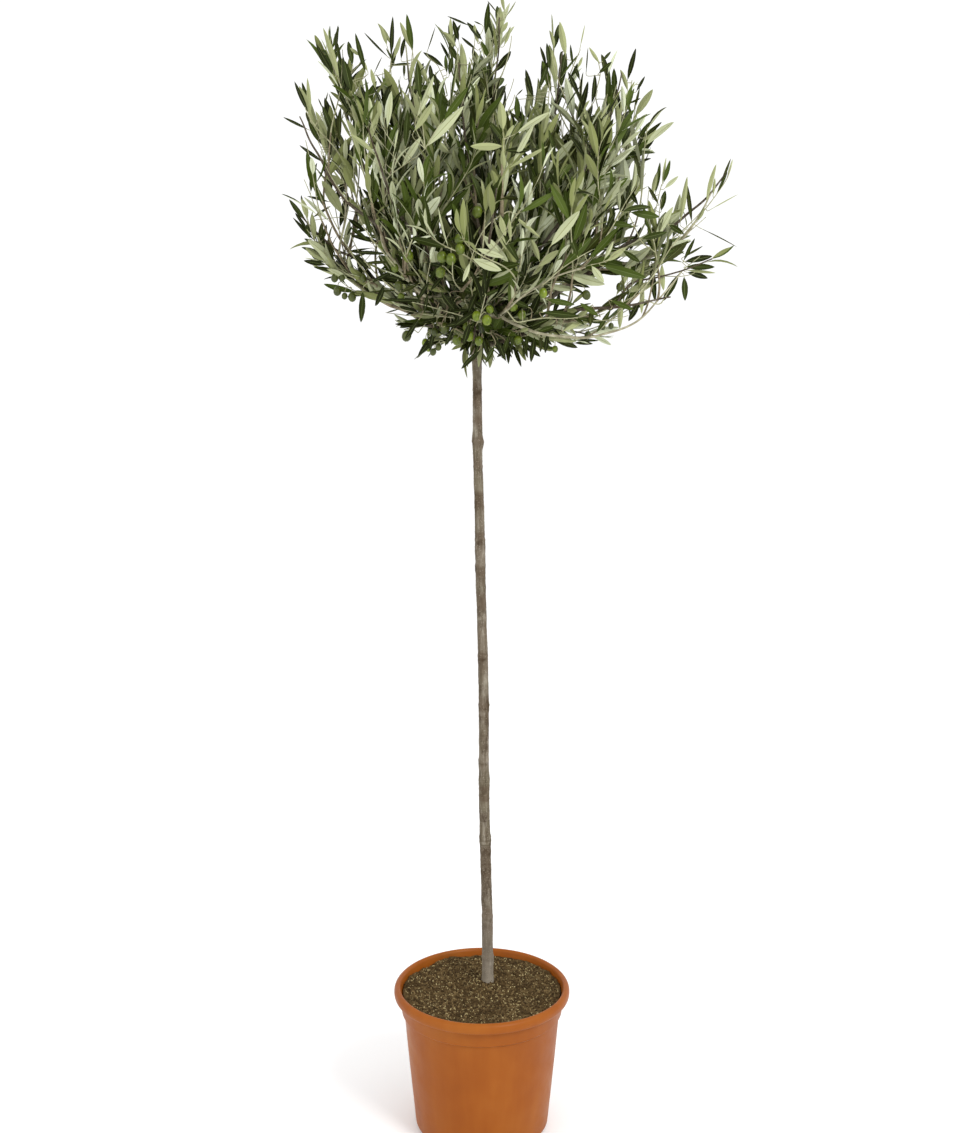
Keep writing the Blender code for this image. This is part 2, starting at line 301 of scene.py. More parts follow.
# %% Node tree helpers
def new_tree(name, inputs):
    """An empty tree with a geometry input and output and the named inputs."""
    tree = bpy.data.node_groups.new(name, "GeometryNodeTree")
    tree.interface.new_socket("Geometry", in_out="INPUT", socket_type="NodeSocketGeometry")
    for label, kind in inputs:
        tree.interface.new_socket(label, in_out="INPUT", socket_type="NodeSocket" + kind)
    tree.interface.new_socket("Geometry", in_out="OUTPUT", socket_type="NodeSocketGeometry")
    start, end = tree.nodes.new("NodeGroupInput"), tree.nodes.new("NodeGroupOutput")
    return tree, start, end


def keep_shape(obj):
    """Replace an object's mesh by what its modifiers make of it, and take the modifiers off."""
    obj.data = bpy.data.meshes.new_from_object(obj.evaluated_get(bpy.context.evaluated_depsgraph_get()))
    obj.modifiers.clear()


def run_tree(obj, tree, values):
    """Give a tree its values, run it on an object and keep the result as the object's mesh."""
    mod = obj.modifiers.new(tree.name, "NODES")
    mod.node_group = tree
    for item in tree.interface.items_tree:
        if item.item_type == "SOCKET" and item.in_out == "INPUT" and item.name in values:
            mod[item.identifier] = values[item.name]
    keep_shape(obj)
    print(obj.name, "has", len(obj.data.polygons), "faces")


def ends(tree, last, start, end):
    """Finish a tree: realize, set the material, output."""
    real = add(tree, "GeometryNodeRealizeInstances", {"Geometry": last})
    wire(tree, end.inputs["Geometry"], add(tree, "GeometryNodeSetMaterial", {
        "Geometry": real, "Material": start.outputs["Material"]}))


print("node groups so far:", len(bpy.data.node_groups))

# %% [markdown]
# ## Sizes that the whole plant shares
# The stem, limbs and clumps follow the same named sizes as the model, so that every leafy part
# grows where its solid is. A clump is given by an inner point and an outer tip.

# %% Sizes of the pot and the stem
POT_HEIGHT, RIM_RADIUS, FOOT_RADIUS = 0.232, 0.140, 0.1065
WALL, FLOOR, LIP_DEPTH, NECK_RADIUS = 0.0026, 0.0032, 0.0155, 0.1276
LEDGE_DROP, WALL_TOP_RADIUS = 0.042, 0.1236
SOIL_LEVEL = POT_HEIGHT - 0.0105
TRUNK_TOP = 1.300
STEM_FOOT = (0.0095, 0.027)             # where the stem stands in the compost
BEND_FROM, BEND_LONG = 0.66, 0.16       # shares of the stem's height: foot and length of its bend
print("bare stem:", round(TRUNK_TOP - SOIL_LEVEL, 3), "m above the compost")

# %% Clumps and main limbs
MASSES = {  # inner point and outer tip, in millimetres
    "heart": ((-6, 8, 1335), (2, 4, 1570)),
    "top": ((0, 0, 1500), (30, 0, 1785)),
    "top_left": ((-56, -12, 1420), (-120, -20, 1748)),
    "top_right": ((74, 12, 1420), (125, 2, 1740)),
    "left_high": ((-122, 42, 1400), (-236, 40, 1735)),
    "left": ((-125, -50, 1385), (-280, -62, 1630)),
    "left_low": ((-160, -4, 1362), (-280, -28, 1462)),
    "right_high": ((114, -34, 1400), (214, -28, 1702)),
    "right": ((132, 52, 1385), (256, 64, 1604)),
    "right_arm": ((176, -12, 1372), (384, -30, 1535)),
    "right_tip": ((200, -64, 1345), (352, -74, 1392)),
    "right_low": ((86, -94, 1304), (290, -122, 1336)),
    "under_right": ((12, -36, 1296), (180, -42, 1264)),
    "under_left": ((-24, -2, 1294), (-186, -16, 1334)),
    "under_front": ((-6, -26, 1300), (-12, -128, 1262)),
    "under_back": ((4, 46, 1304), (20, 150, 1272)),
    "front": ((0, -78, 1340), (20, -272, 1506)),
    "front_left": ((-72, -78, 1366), (-166, -210, 1604)),
    "front_right": ((80, -80, 1366), (166, -204, 1610)),
    "front_high": ((-8, -78, 1460), (-34, -166, 1694)),
    "back": ((-2, 94, 1345), (-12, 276, 1512)),
    "back_left": ((-76, 98, 1372), (-172, 212, 1616)),
    "back_right": ((80, 98, 1372), (178, 210, 1604)),
    "back_high": ((10, 94, 1460), (-10, 172, 1700)),
}
BOUGHS = {  # height on the stem, clump it runs into, radius, rise
    "leader": (1.292, "heart", 0.0056, 0.5),
    "left": (1.262, "left", 0.0050, 0.25),
    "left_low": (1.254, "left_low", 0.0046, 0.15),
    "left_back": (1.284, "left_high", 0.0046, 0.35),
    "right": (1.272, "right_arm", 0.0050, 0.30),
    "right_low": (1.252, "right_low", 0.0046, 0.10),
    "right_back": (1.256, "right", 0.0046, 0.30),
    "front": (1.252, "front", 0.0046, 0.20),
    "front_left": (1.276, "front_left", 0.0042, 0.35),
    "front_right": (1.286, "front_right", 0.0042, 0.35),
    "back": (1.240, "back", 0.0046, 0.20),
    "back_left": (1.264, "back_left", 0.0042, 0.35),
    "back_right": (1.280, "back_right", 0.0042, 0.35),
}
print("clumps:", len(MASSES), "limbs from the stem:", len(BOUGHS))

# %% Line of the stem
def stem_centre(z):
    """Centre of the stem at heights z: lean, the bend near the crown, and a slow wander."""
    u = (np.asarray(z, float) - SOIL_LEVEL) / (TRUNK_TOP - SOIL_LEVEL)
    step = np.clip((u - BEND_FROM) / BEND_LONG, 0, 1)
    x = STEM_FOOT[0] - 0.0112 * np.minimum(u / BEND_FROM, 1) - 0.0058 * step ** 2 * (3 - 2 * step)
    x = x + 0.0009 * np.sin(17.0 * u)
    y = STEM_FOOT[1] - 0.017 * u + 0.0016 * np.sin(9.0 * u)
    return np.stack([x, y, np.asarray(z, float)], -1)


def stem_radius(z):
    """Radius of the stem at heights z: taper, flare at the foot, swelling at the head."""
    u = (z - SOIL_LEVEL) / (TRUNK_TOP - SOIL_LEVEL)
    radius = 0.0088 - 0.0024 * np.maximum(u, 0) ** 1.6
    radius = radius + 0.0016 * np.exp(-(z - SOIL_LEVEL) / 0.01575)
    return radius + 0.0022 * np.exp(-((z - 1.262) / 0.034) ** 2)


print("stem radius at the foot and the head:", stem_radius(np.array((SOIL_LEVEL, TRUNK_TOP))).round(4))

# %% [markdown]
# ## The pot
# A container pot is moulded in one shot: a rolled lip, a plain band under it, a small ledge and a
# tapered wall with a rounded foot. Turning a profile gives all of that at once. The profile is
# first smoothed a little at each corner, because a mould has no sharp edges.

# %% Pot shape
def pot_inside(z):
    """Inner radius of the pot at a height."""
    top = POT_HEIGHT - LEDGE_DROP
    if z > top:
        share = (z - top) / (LEDGE_DROP - LIP_DEPTH)
        return WALL_TOP_RADIUS - WALL + (NECK_RADIUS - WALL_TOP_RADIUS + 0.0016) * min(share, 1.0)
    return FOOT_RADIUS - WALL + (WALL_TOP_RADIUS - FOOT_RADIUS) * (z - FLOOR) / (top - FLOOR)


def eased(profile, radius=0.0009, steps=4):
    """Round every corner of a profile."""
    out = [profile[0]]
    for a, b, c in zip(profile, profile[1:], profile[2:]):
        a, b, c = (np.asarray(p, float) for p in (a, b, c))
        near = min(radius, 0.42 * np.linalg.norm(a - b), 0.42 * np.linalg.norm(c - b))
        p = b + (a - b) / np.linalg.norm(a - b) * near
        q = b + (c - b) / np.linalg.norm(c - b) * near
        for t in np.linspace(0, 1, steps):
            out.append(tuple(p * (1 - t) ** 2 + b * 2 * t * (1 - t) + q * t ** 2))
    return out + [profile[-1]]


def turned(profile, sides):
    """A skin turned about +Z from (radius, height) pairs that start and end on the axis."""
    body, a = np.array(profile[1:-1]), around(sides)
    radius, height = body[:, :1], body[:, 1:]
    rings = np.stack([radius * np.cos(a), radius * np.sin(a), np.repeat(height, sides, 1)], -1)
    return closed(rings, (0, 0, profile[0][1]), (0, 0, profile[-1][1]))


lip, ledge = POT_HEIGHT - LIP_DEPTH, POT_HEIGHT - LEDGE_DROP
pot_profile = eased([
    (0.0, 0.0), (FOOT_RADIUS - 0.0105, 0.0), (FOOT_RADIUS - 0.0045, 0.0022),
    (FOOT_RADIUS - 0.0008, 0.0072), (FOOT_RADIUS, 0.0135), (FOOT_RADIUS + 0.0058, 0.0700),
    (FOOT_RADIUS + 0.0114, 0.1260), (WALL_TOP_RADIUS, ledge - 0.0015),
    (WALL_TOP_RADIUS + 0.0013, ledge - 0.0004), (NECK_RADIUS - 0.0012, ledge + 0.0010),
    (NECK_RADIUS, ledge + 0.0016), (NECK_RADIUS + 0.0018, lip - 0.0012),
    (RIM_RADIUS - 0.0046, lip - 0.0006), (RIM_RADIUS - 0.0018, lip - 0.0002),
    (RIM_RADIUS - 0.0006, lip + 0.0018), (RIM_RADIUS, lip + 0.0052), (RIM_RADIUS - 0.0002, lip + 0.0090),
    (RIM_RADIUS - 0.0014, lip + 0.0122), (RIM_RADIUS - 0.0036, POT_HEIGHT - 0.0012),
    (RIM_RADIUS - 0.0064, POT_HEIGHT), (RIM_RADIUS - 0.0090, POT_HEIGHT - 0.0010),
    (RIM_RADIUS - 0.0106, POT_HEIGHT - 0.0034), (pot_inside(lip), lip), (pot_inside(ledge), ledge),
    (pot_inside(FLOOR + 0.006), FLOOR + 0.006), (pot_inside(FLOOR) - 0.005, FLOOR), (0.0, FLOOR)])
print("points of the pot's profile:", len(pot_profile))

# %% Pot finish
def make_plastic():
    """Terracotta-coloured plastic: faint clouds, fine flow marks, dull and shiny patches."""
    finish = Finish("terracotta_plastic", tone(142, 75, 16), 0.42, 0.16)
    base = finish.ramp(finish.grain(9.0, 3.0), (0.30, tone(135, 69, 12)), (0.52, tone(143, 76, 16)),
                       (0.72, tone(150, 85, 24)))
    streak = finish.ramp(finish.grain(46.0, 5.0, stretch=(1, 1, 0.12)), (0.40, tone(127, 62, 10)),
                         (0.62, tone(153, 87, 26)))
    finish.give("Base Color", finish.over(base, streak, finish.part(finish.grain(23.0, 2.0), 0.30)))
    finish.give("Roughness", finish.ramp(finish.grain(31.0, 6.0, 0.65), (0.35, grey(0.36)),
                                         (0.70, grey(0.52))))
    finish.bump(finish.grain(240.0, 3.0), 0.0004, 0.18)
    return finish.mat


POT_SIDES = 180
HOLES, HOLE_RING, HOLE_RADIUS, DRILL_ENDS = 6, 0.068, 0.006, (-0.004, 0.0075)
plastic = make_plastic()
verts, faces = turned(pot_profile, POT_SIDES)
pot = build("pot_shell", verts, faces, [plastic])
for k in range(HOLES):
    angle = 2 * math.pi * (k + 0.5) / HOLES
    path = np.array([(HOLE_RING * math.cos(angle), HOLE_RING * math.sin(angle), z) for z in DRILL_ENDS])
    verts, faces = tube(path, np.array([HOLE_RADIUS, HOLE_RADIUS]), 24)
    drill = build("drill", verts, faces, [plastic])
    hole = pot.modifiers.new("drain", "BOOLEAN")
    hole.object, hole.solver = drill, "EXACT"
    bpy.context.view_layer.update()
    keep_shape(pot)
    bpy.data.objects.remove(drill)
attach(pot, "root")
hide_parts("pot")
print("pot faces:", len(pot.data.polygons))

# %% [markdown]
# ## The compost
# Compost is never flat: it slumps a little, has clods, and is littered with crumbs of peat, bark
# and pale grit. The body is a plug under a rough skin, and loose crumbs are scattered on it.

# %% Height of the compost
def cloud(points, scale, seed):
    """Smooth random height, about -1 to 1, at each point."""
    shift = Vector((seed * 7.31, seed * 3.17, seed * 5.53))
    return np.array([noise.noise(Vector(p) * scale + shift) for p in points])


BED_SIDES, BED_RINGS = 160, 64
BED_LIFT, BED_GAP = 0.0004, 0.0008      # clear of the pot's floor, and of its wall
PLUG_GAP = 0.0006                       # the plug's lower rings are this clear of the wall


def soil_height(x, y):
    """Height of the compost: gentle slump, clods, and a low mound against the stem."""
    flat = np.stack([x, y, 0 * x], -1)
    bumps = 0.0030 * cloud(flat, 22, 3) + 0.0026 * cloud(flat, 75, 4) + 0.0020 * cloud(flat, 210, 5)
    away = np.hypot(x - STEM_FOOT[0], y - STEM_FOOT[1])
    return SOIL_LEVEL + BED_LIFT + bumps + 0.0020 * np.exp(-(away / 0.022) ** 2)


middle_height = float(soil_height(np.zeros(1), np.zeros(1))[0])
print("compost in the middle:", round(middle_height, 4))

# %% Compost body
def make_compost():
    """Dark peat with paler clods and damp patches."""
    finish = Finish("compost", tone(82, 66, 40), 0.95, 0.06)
    clods = finish.ramp(finish.grain(85.0, 8.0, 0.7), (0.34, tone(38, 30, 17)), (0.47, tone(76, 60, 36)),
                        (0.60, tone(104, 86, 56)), (0.74, tone(146, 128, 94)))
    damp = finish.ramp(finish.grain(14.0, 3.0), (0.40, tone(60, 46, 26)), (0.65, tone(104, 86, 56)))
    finish.give("Base Color", finish.over(clods, damp, finish.part(finish.grain(30.0, 2.0), 0.5)))
    finish.bump(finish.grain(420.0, 8.0, 0.75), 0.0022, 0.9)
    return finish.mat


compost = make_compost()
edge_radius = pot_inside(SOIL_LEVEL) - BED_GAP
radii = edge_radius * np.linspace(1, 0.012, BED_RINGS) ** 0.8
angles = around(BED_SIDES)
grid_x, grid_y = radii[:, None] * np.cos(angles), radii[:, None] * np.sin(angles)
skin = np.stack([grid_x, grid_y, soil_height(grid_x.ravel(), grid_y.ravel()).reshape(grid_x.shape)], -1)
low = [(pot_inside(FLOOR) - 0.0055, FLOOR + BED_LIFT),
       (pot_inside(FLOOR + 0.006) - PLUG_GAP, FLOOR + 0.006),
       (pot_inside(ledge) - PLUG_GAP, ledge), (edge_radius, SOIL_LEVEL - 0.006)]
plug = np.array([[(r * math.cos(a), r * math.sin(a), z) for a in angles] for r, z in low])
verts, faces = closed(np.concatenate([plug, skin]), (0, 0, FLOOR + BED_LIFT), (0, 0, middle_height))
soil = build("compost_body", verts, faces, [compost])
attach(soil, "root")
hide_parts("soil")
print("compost faces:", len(soil.data.polygons))

# %% Crumbs on the compost
def crumb_tree():
    """Scatter irregular lumps over a surface: size, number for a square metre, seed, length, material."""
    tree, start, end = new_tree("crumbs", [("Size", "Float"), ("Density", "Float"), ("Seed", "Int"),
                                           ("Long", "Float"), ("Material", "Material")])
    given = start.outputs
    seed = {"Seed": given["Seed"]}
    scatter = add(tree, "GeometryNodeDistributePointsOnFaces",
                  {"Mesh": given["Geometry"], "Density": given["Density"], **seed})
    lump = add(tree, "GeometryNodeMeshIcoSphere", {"Radius": 1.0, "Subdivisions": 1})
    turn = add(tree, "FunctionNodeRandomValue", {"Max": (6.28, 6.28, 6.28), **seed},
               data_type="FLOAT_VECTOR")
    size = add(tree, "FunctionNodeRandomValue", {2: 0.45, 3: 1.35, **seed}, data_type="FLOAT")
    wide = add(tree, "ShaderNodeMath", {0: size.outputs[1], 1: given["Size"]}, operation="MULTIPLY")
    long = add(tree, "ShaderNodeMath", {0: wide, 1: given["Long"]}, operation="MULTIPLY")
    shape = add(tree, "ShaderNodeCombineXYZ", {"X": long, "Y": wide, "Z": wide})
    put = add(tree, "GeometryNodeInstanceOnPoints", {
        "Points": scatter, "Instance": lump, "Rotation": turn, "Scale": shape})
    real = add(tree, "GeometryNodeRealizeInstances", {"Geometry": put})
    rough = add(tree, "ShaderNodeTexNoise", {"Scale": 900.0})
    shift = add(tree, "ShaderNodeVectorMath", {0: rough.outputs["Color"], 1: (0.5, 0.5, 0.5)},
                operation="SUBTRACT")
    knock = add(tree, "ShaderNodeVectorMath", {0: shift, "Scale": given["Size"]}, operation="SCALE")
    ends(tree, add(tree, "GeometryNodeSetPosition", {"Geometry": real, "Offset": knock}), start, end)
    return tree


def crumb_finish(name, dark, light):
    finish = Finish(name, light, 0.9, 0.08)
    finish.give("Base Color", finish.ramp(finish.grain(500.0), (0.35, dark), (0.65, light)))
    return finish.mat


bed_points = skin.reshape(-1, 3)[BED_SIDES * 2:]        # the skin without its two outer rings
crumbs = crumb_tree()
for name, size, density, seed, long, dark, light in (
        ("peat_crumbs", 0.0018, 42000.0, 5, 1.2, tone(40, 31, 18), tone(84, 66, 40)),
        ("bark_crumbs", 0.0014, 16000.0, 8, 2.6, tone(78, 62, 38), tone(124, 104, 70)),
        ("pale_grit", 0.0008, 20000.0, 13, 2.6, tone(138, 122, 82), tone(192, 176, 132))):
    bed = build(name, bed_points, ring_faces(BED_RINGS - 2, BED_SIDES), [compost])
    run_tree(bed, crumbs, {"Size": size, "Density": density, "Seed": seed, "Long": long,
                           "Material": crumb_finish(name, dark, light)})
    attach(bed, "root")

# %% [markdown]
# ## Bark
# Young olive bark is grey-brown and smooth, with fine upright streaks, pale pores, dark rings where
# side shoots were cut away, and a green bloom in places. Stretching noise along the stem gives the
# streaks, and cells of a Voronoi pattern give the pores. The furrows are darkened as painted shade,
# and the limbs wear the stem's bark made darker, as painted shade of the crown. Young wood is paler
# and plainer, and its finish is paler still, as painted back light.

# %% Bark finish
def make_bark(name, shade):
    """Old bark; the shade darkens every colour in it, on the limbs further as painted shade."""
    finish = Finish(name, tone(130, 118, 102), 0.85, 0.10)

    def dim(r, g, b):
        return tone(r * shade, g * shade, b * shade)

    brown, dark, pale = dim(100, 83, 67), dim(74, 60, 44), dim(188, 178, 160)
    streaks = finish.ramp(finish.grain(120.0, 7.0, 0.75, (1, 1, 0.16)), (0.34, dim(70, 58, 44)),
                          (0.45, dim(114, 101, 84)), (0.55, dim(142, 131, 115)), (0.68, dim(190, 181, 166)))
    bloom = finish.ramp(finish.grain(11.0, 3.0, stretch=(1, 1, 0.6)), (0.40, dim(128, 118, 104)),
                        (0.60, dim(112, 112, 84)))
    bands = finish.ramp(finish.grain(31.0, 2.0, 0.5, (0.22, 0.22, 1)), (0.44, grey(0)), (0.58, grey(0.62)))
    rings = finish.ramp(finish.grain(120.0, 3.0, 0.7, (0.10, 0.10, 1)), (0.60, grey(0)), (0.74, grey(0.75)))
    blots = finish.ramp(finish.grain(62.0, 5.0, 0.7, (1, 1, 0.5)), (0.50, grey(0)), (0.66, grey(0.8)))
    pores = add(finish.tree, "ShaderNodeTexVoronoi", {"Vector": finish.place((1, 1, 1.7)), "Scale": 260.0})
    dots = finish.ramp(pores, (0.12, grey(0.7)), (0.24, grey(0)))
    # painted shade in the furrows and wrinkles, and the knots' own dark scars, as stored on the skin
    marks = add(finish.tree, "ShaderNodeAttribute", attribute_name="mark").outputs["Fac"]
    height = add(finish.tree, "ShaderNodeSeparateXYZ", {"Vector": finish.place()}).outputs["Z"]
    foot = add(finish.tree, "ShaderNodeMapRange", {"Value": height, "From Min": 0.36,
                                                   "From Max": 0.225, "To Max": 0.42})
    base = finish.over(streaks, bloom, finish.part(finish.grain(19.0), 0.45))
    for colour, how_much in ((brown, bands), (dark, rings), (dark, blots), (pale, dots), (dark, marks),
                             (pale, foot)):
        base = finish.over(base, colour, how_much)
    finish.give("Base Color", base)
    finish.bump(finish.grain(620.0, 6.0, 0.7, (1, 1, 0.22)), 0.0008, 0.7)
    return finish.mat


def twig_finish(name, dark, light, roughness):
    """Thin young wood: two shades in soft blots and a fine grain."""
    finish = Finish(name, light, roughness, 0.3)
    finish.give("Base Color", finish.ramp(finish.grain(95.0, 5.0, 0.65), (0.36, dark), (0.64, light)))
    finish.bump(finish.grain(900.0), 0.0003, 0.5)
    return finish.mat


bark = make_bark("olive_bark", 0.86)
# the limbs' bark is the stem's bark made darker: painted shade of the crown
limb_bark_painted_shade = make_bark("limb_bark_painted_shade", 0.70)
# young wood is pale; this finish is paler still, as painted back light
young_backlit_bark = twig_finish("young_backlit_bark", tone(122, 116, 92), tone(170, 166, 140), 0.75)
print("bark finishes:", bark.name, limb_bark_painted_shade.name, young_backlit_bark.name)

# %% [markdown]
# ## The stem
# The stem was trained up bare: it is nearly straight, swells where shoots were trimmed off, and
# flares a little at the compost. The skin is a grid of rings whose radius carries the relief, so
# the swellings, knots and shallow furrows are real shape, and only the finest grain is bump.

# %% Relief of bark
KNOTS = ((1.100, 3.9, 0.0022), (1.060, 5.1, 0.0013), (0.945, 4.4, 0.0016), (0.905, 0.7, 0.0012),
         (0.760, 1.9, 0.0013), (0.590, 5.6, 0.0019), (0.463, 4.2, 0.0020), (0.440, 2.6, 0.0013),
         (0.330, 5.0, 0.0014), (0.262, 3.6, 0.0013), (1.180, 2.2, 0.0014), (0.680, 3.3, 0.0009))


def bark_relief(path, base, sides, seed, knots=(), depth=1.0):
    """Radius and darkness at each ring and side from oval, furrows, lumps, wrinkles and knots: painted
    shade, and knot scars.
    """
    a, run = around(sides), line_run(path)
    grid = np.stack(np.broadcast_arrays(np.cos(a), np.sin(a), run[:, None]), -1)
    furrow, lumps, wrinkle = (cloud((grid * stretch).reshape(-1, 3), 1.0, seed + more).reshape(-1, sides)
                              for stretch, more in (((2.1, 2.1, 26.0), 0), ((1.0, 1.0, 58.0), 5),
                                                    ((0.5, 0.5, 260.0), 9)))
    oval = 1 + 0.035 * np.sin(2 * a[None, :] + 5.0 * run[:, None] + seed)
    radius = base[:, None] * (oval + depth * (0.075 * furrow + 0.07 * lumps + 0.05 * wrinkle))
    # painted shade: darker where the furrows and wrinkles cut in
    marks = np.clip(-0.5 * furrow - 0.45 * wrinkle - 0.1, 0, 0.5)
    for height, angle, size in knots:
        up = (path[:, 2] - height)[:, None]
        turn = np.abs((a[None, :] - angle + math.pi) % (2 * math.pi) - math.pi) * base[:, None]
        near = np.hypot(up / 1.25, turn)
        radius = radius + size * np.exp(-(near / 0.0055) ** 2) - 1.25 * size * np.exp(-(near / 0.0020) ** 2)
        radius = radius + 0.00055 * np.exp(-((up - 0.004) / 0.0022) ** 2)
        marks = marks + 0.9 * np.exp(-(near / 0.0032) ** 2) + 0.45 * np.exp(-((up + 0.0005) / 0.0013) ** 2)
    return radius, np.clip(marks, 0, 0.9)


def store_scars_and_shade(obj, marks):
    """Keep the painted shade and the knot scars on the skin's points, ring points first and then the two end
    points.
    """
    values = np.concatenate([np.append(m.ravel(), (0.0, 0.0)) for m in marks]).astype(np.float32)
    obj.data.attributes.new("mark", "FLOAT", "POINT").data.foreach_set("value", values)


print("knots on the stem:", len(KNOTS))

# %% Stem shape
STEM_RINGS, STEM_SIDES, STEM_ROOT = 460, 52, 0.012      # the stem starts this far under the compost
SWELLINGS = (0.46, 0.56, 0.93, 1.105)
heights = np.linspace(SOIL_LEVEL - STEM_ROOT, TRUNK_TOP, STEM_RINGS)
stem_path = stem_centre(heights)
stem_base = stem_radius(heights)
for swelling in SWELLINGS:
    stem_base = stem_base + 0.0009 * np.exp(-((heights - swelling) / 0.012) ** 2)
stem_radii, stem_scars_and_shade = bark_relief(stem_path, stem_base, STEM_SIDES, 2, KNOTS)
verts, faces = tube(stem_path, stem_radii, STEM_SIDES)
stem = build("stem_bark", verts, faces, [bark])
store_scars_and_shade(stem, [stem_scars_and_shade])
print("stem faces:", len(stem.data.polygons))

# %% [markdown]
# ## From the camera's frame to a point
# Parts that are listed one by one are given as places in the camera's frame: so many units across and
# down, and a depth in millimetres in front of the stem (negative) or behind it. The function below
# turns such a place into a point.

# %% From the frame to a point
FRAME_WIDE, FRAME_HIGH = 970, 1133
ZOOM = eye.lens / eye.sensor_width * FRAME_HIGH
MIDDLE = (FRAME_WIDE / 2 - eye.shift_x * FRAME_HIGH, FRAME_HIGH / 2 + eye.shift_y * FRAME_HIGH)
LOOK_DOWN = math.radians(90) - camera.rotation_euler.x


def seen(across, down, depth):
    """The point that the camera shows at a place in its frame, at a depth in millimetres."""
    right, below = (across - MIDDLE[0]) / ZOOM, (down - MIDDLE[1]) / ZOOM
    way = np.array((right, math.cos(LOOK_DOWN) - below * math.sin(LOOK_DOWN),
                    -math.sin(LOOK_DOWN) - below * math.cos(LOOK_DOWN)))
    return np.array(camera.location) + way * (depth * 0.001 - camera.location.y) / way[1]


print("middle of the frame, at the stem:", seen(*MIDDLE, 0.0).round(3))

# %% [markdown]
# ## Limbs
# Thirteen limbs leave the head of the stem and each runs on into a clump as its leader. A limb
# starts inside the stem with a small collar, keeps the line of its solid, and thins towards its
# tip. Clumps with no limb of their own get one from the nearest limb below them.

# %% Lines that wander
LIMB_STEP = 0.004               # metres between the points of a limb


def resample(points, step):
    """The same line with evenly spaced points."""
    run = line_run(points)
    at = np.linspace(0, run[-1], max(int(run[-1] / step), 4) + 1)
    return np.stack([np.interp(at, run, points[:, k]) for k in range(3)], -1)


def wobble(path, amount, seed):
    """Bend a path off its line a little, growing from its start."""
    run = line_run(path)
    off = [cloud(np.stack([run * 22, 0 * run + k * 9.7, 0 * run], -1), 1.0, seed) for k in range(3)]
    return path + np.stack(off, -1) * (amount * np.minimum(run / 0.05, 1))[:, None]


def clump_axis(name, t):
    """Points along a clump, from its inner point to its tip."""
    inner, outer = (np.array(v) / 1000 for v in MASSES[name])
    return bend(inner, inner + (outer - inner) * (0.66, 0.66, 0.36), outer, t)


print("middle of the top clump:", clump_axis("top", [0.5])[0].round(3))

# %% Main limbs
limbs = []      # each: path, radius at its points, name
for order, (name, (height, clump, radius, rise)) in enumerate(BOUGHS.items()):
    start = stem_centre(height)
    inner, outer = (np.array(v) / 1000 for v in MASSES[clump])
    goal = inner + (outer - inner) * 0.22
    knee = start + (goal - start) * (0.5, 0.5, rise)
    path = np.concatenate([bend(start, knee, goal, np.linspace(0, 1, 8)),
                           clump_axis(clump, (0.42, 0.58, 0.74, 0.88))])
    path = wobble(resample(curve(path, 90), LIMB_STEP), 0.0030, order + 1)
    thick = np.interp(np.linspace(0, 1, len(path)), (0, 0.45, 1), (radius, 0.66 * radius, 0.0011))
    away = np.arange(len(path)) * LIMB_STEP
    collar = 1 + 0.30 * np.exp(-((away - 0.006) / 0.009) ** 2)
    limbs.append({"path": path, "radius": thick * collar, "name": name})
print("limbs from the stem:", len(limbs))

# %% Limbs from limbs
LIMB_THICK, LIMB_TIP = 0.0030, 0.0010


def join_on(target, lean):
    """The limb, and the point of it, from which a new one best reaches a target."""
    best = None
    for limb in limbs:
        gap = target - limb["path"]
        far = np.linalg.norm(gap, axis=1)
        turn = (gap * ways_along(limb["path"])).sum(1) / np.maximum(far, 1e-6)
        cost = far + lean * (1 - turn) + 0.4 * np.maximum(limb["path"][:, 2] - target[2], 0)
        cost[limb["radius"] < 0.0019] += 0.2
        i = int(np.argmin(cost))
        if best is None or cost[i] < best[0]:
            best = (cost[i], limb, i)
    return best[1:]


def limb_from(points, name, seed, thick=LIMB_THICK):
    """A limb through given points, joined to the nearest limb."""
    limb, i = join_on(np.array(points[0]), 0.05)
    start = limb["path"][i]
    first = start + ways_along(limb["path"])[i] * 0.010
    path = wobble(resample(curve(np.concatenate([[start, first], points]), 80), LIMB_STEP), 0.0026, seed)
    base = min(thick, 0.85 * limb["radius"][i])
    limbs.append({"path": path, "radius": np.linspace(base, LIMB_TIP, len(path)), "name": name})


led = [clump for _, clump, _, _ in BOUGHS.values()]
for order, name in enumerate(MASSES):
    if name not in led:
        limb_from(clump_axis(name, (0.10, 0.32, 0.55, 0.75, 0.88)), name, 30 + order)

LIMB_LINES = {  # limbs that stand out, through places in the frame: across, down, depth
    "low_sweep": ((500, 316, -72), (538, 333, -96), (592, 337, -104), (636, 321, -104), (661, 298, -100),
                  (680, 274, -96)),
    "far_arm": ((632, 264, -30), (672, 246, -32), (696, 220, -30), (714, 190, -28)),
    "pale_spray": ((508, 308, -118), (547, 281, -140), (586, 267, -146)),
    "left_rise": ((426, 297, -80), (390, 256, -94), (381, 232, -92), (387, 201, -90), (386, 165, -88)),
    "left_upright": ((339, 252, -22), (345, 218, -24), (347, 185, -26), (345, 155, -26)),
    "brown_shoot": ((497, 245, -150), (501, 213, -180), (502, 185, -182), (501, 145, -180)),
}
for order, (name, points) in enumerate(LIMB_LINES.items()):
    limb_from(np.array([seen(*place) for place in points]), name, 60 + order, 0.0027)
print("limbs:", len(limbs), "longest", round(max(len(l["path"]) for l in limbs) * LIMB_STEP, 3), "m")
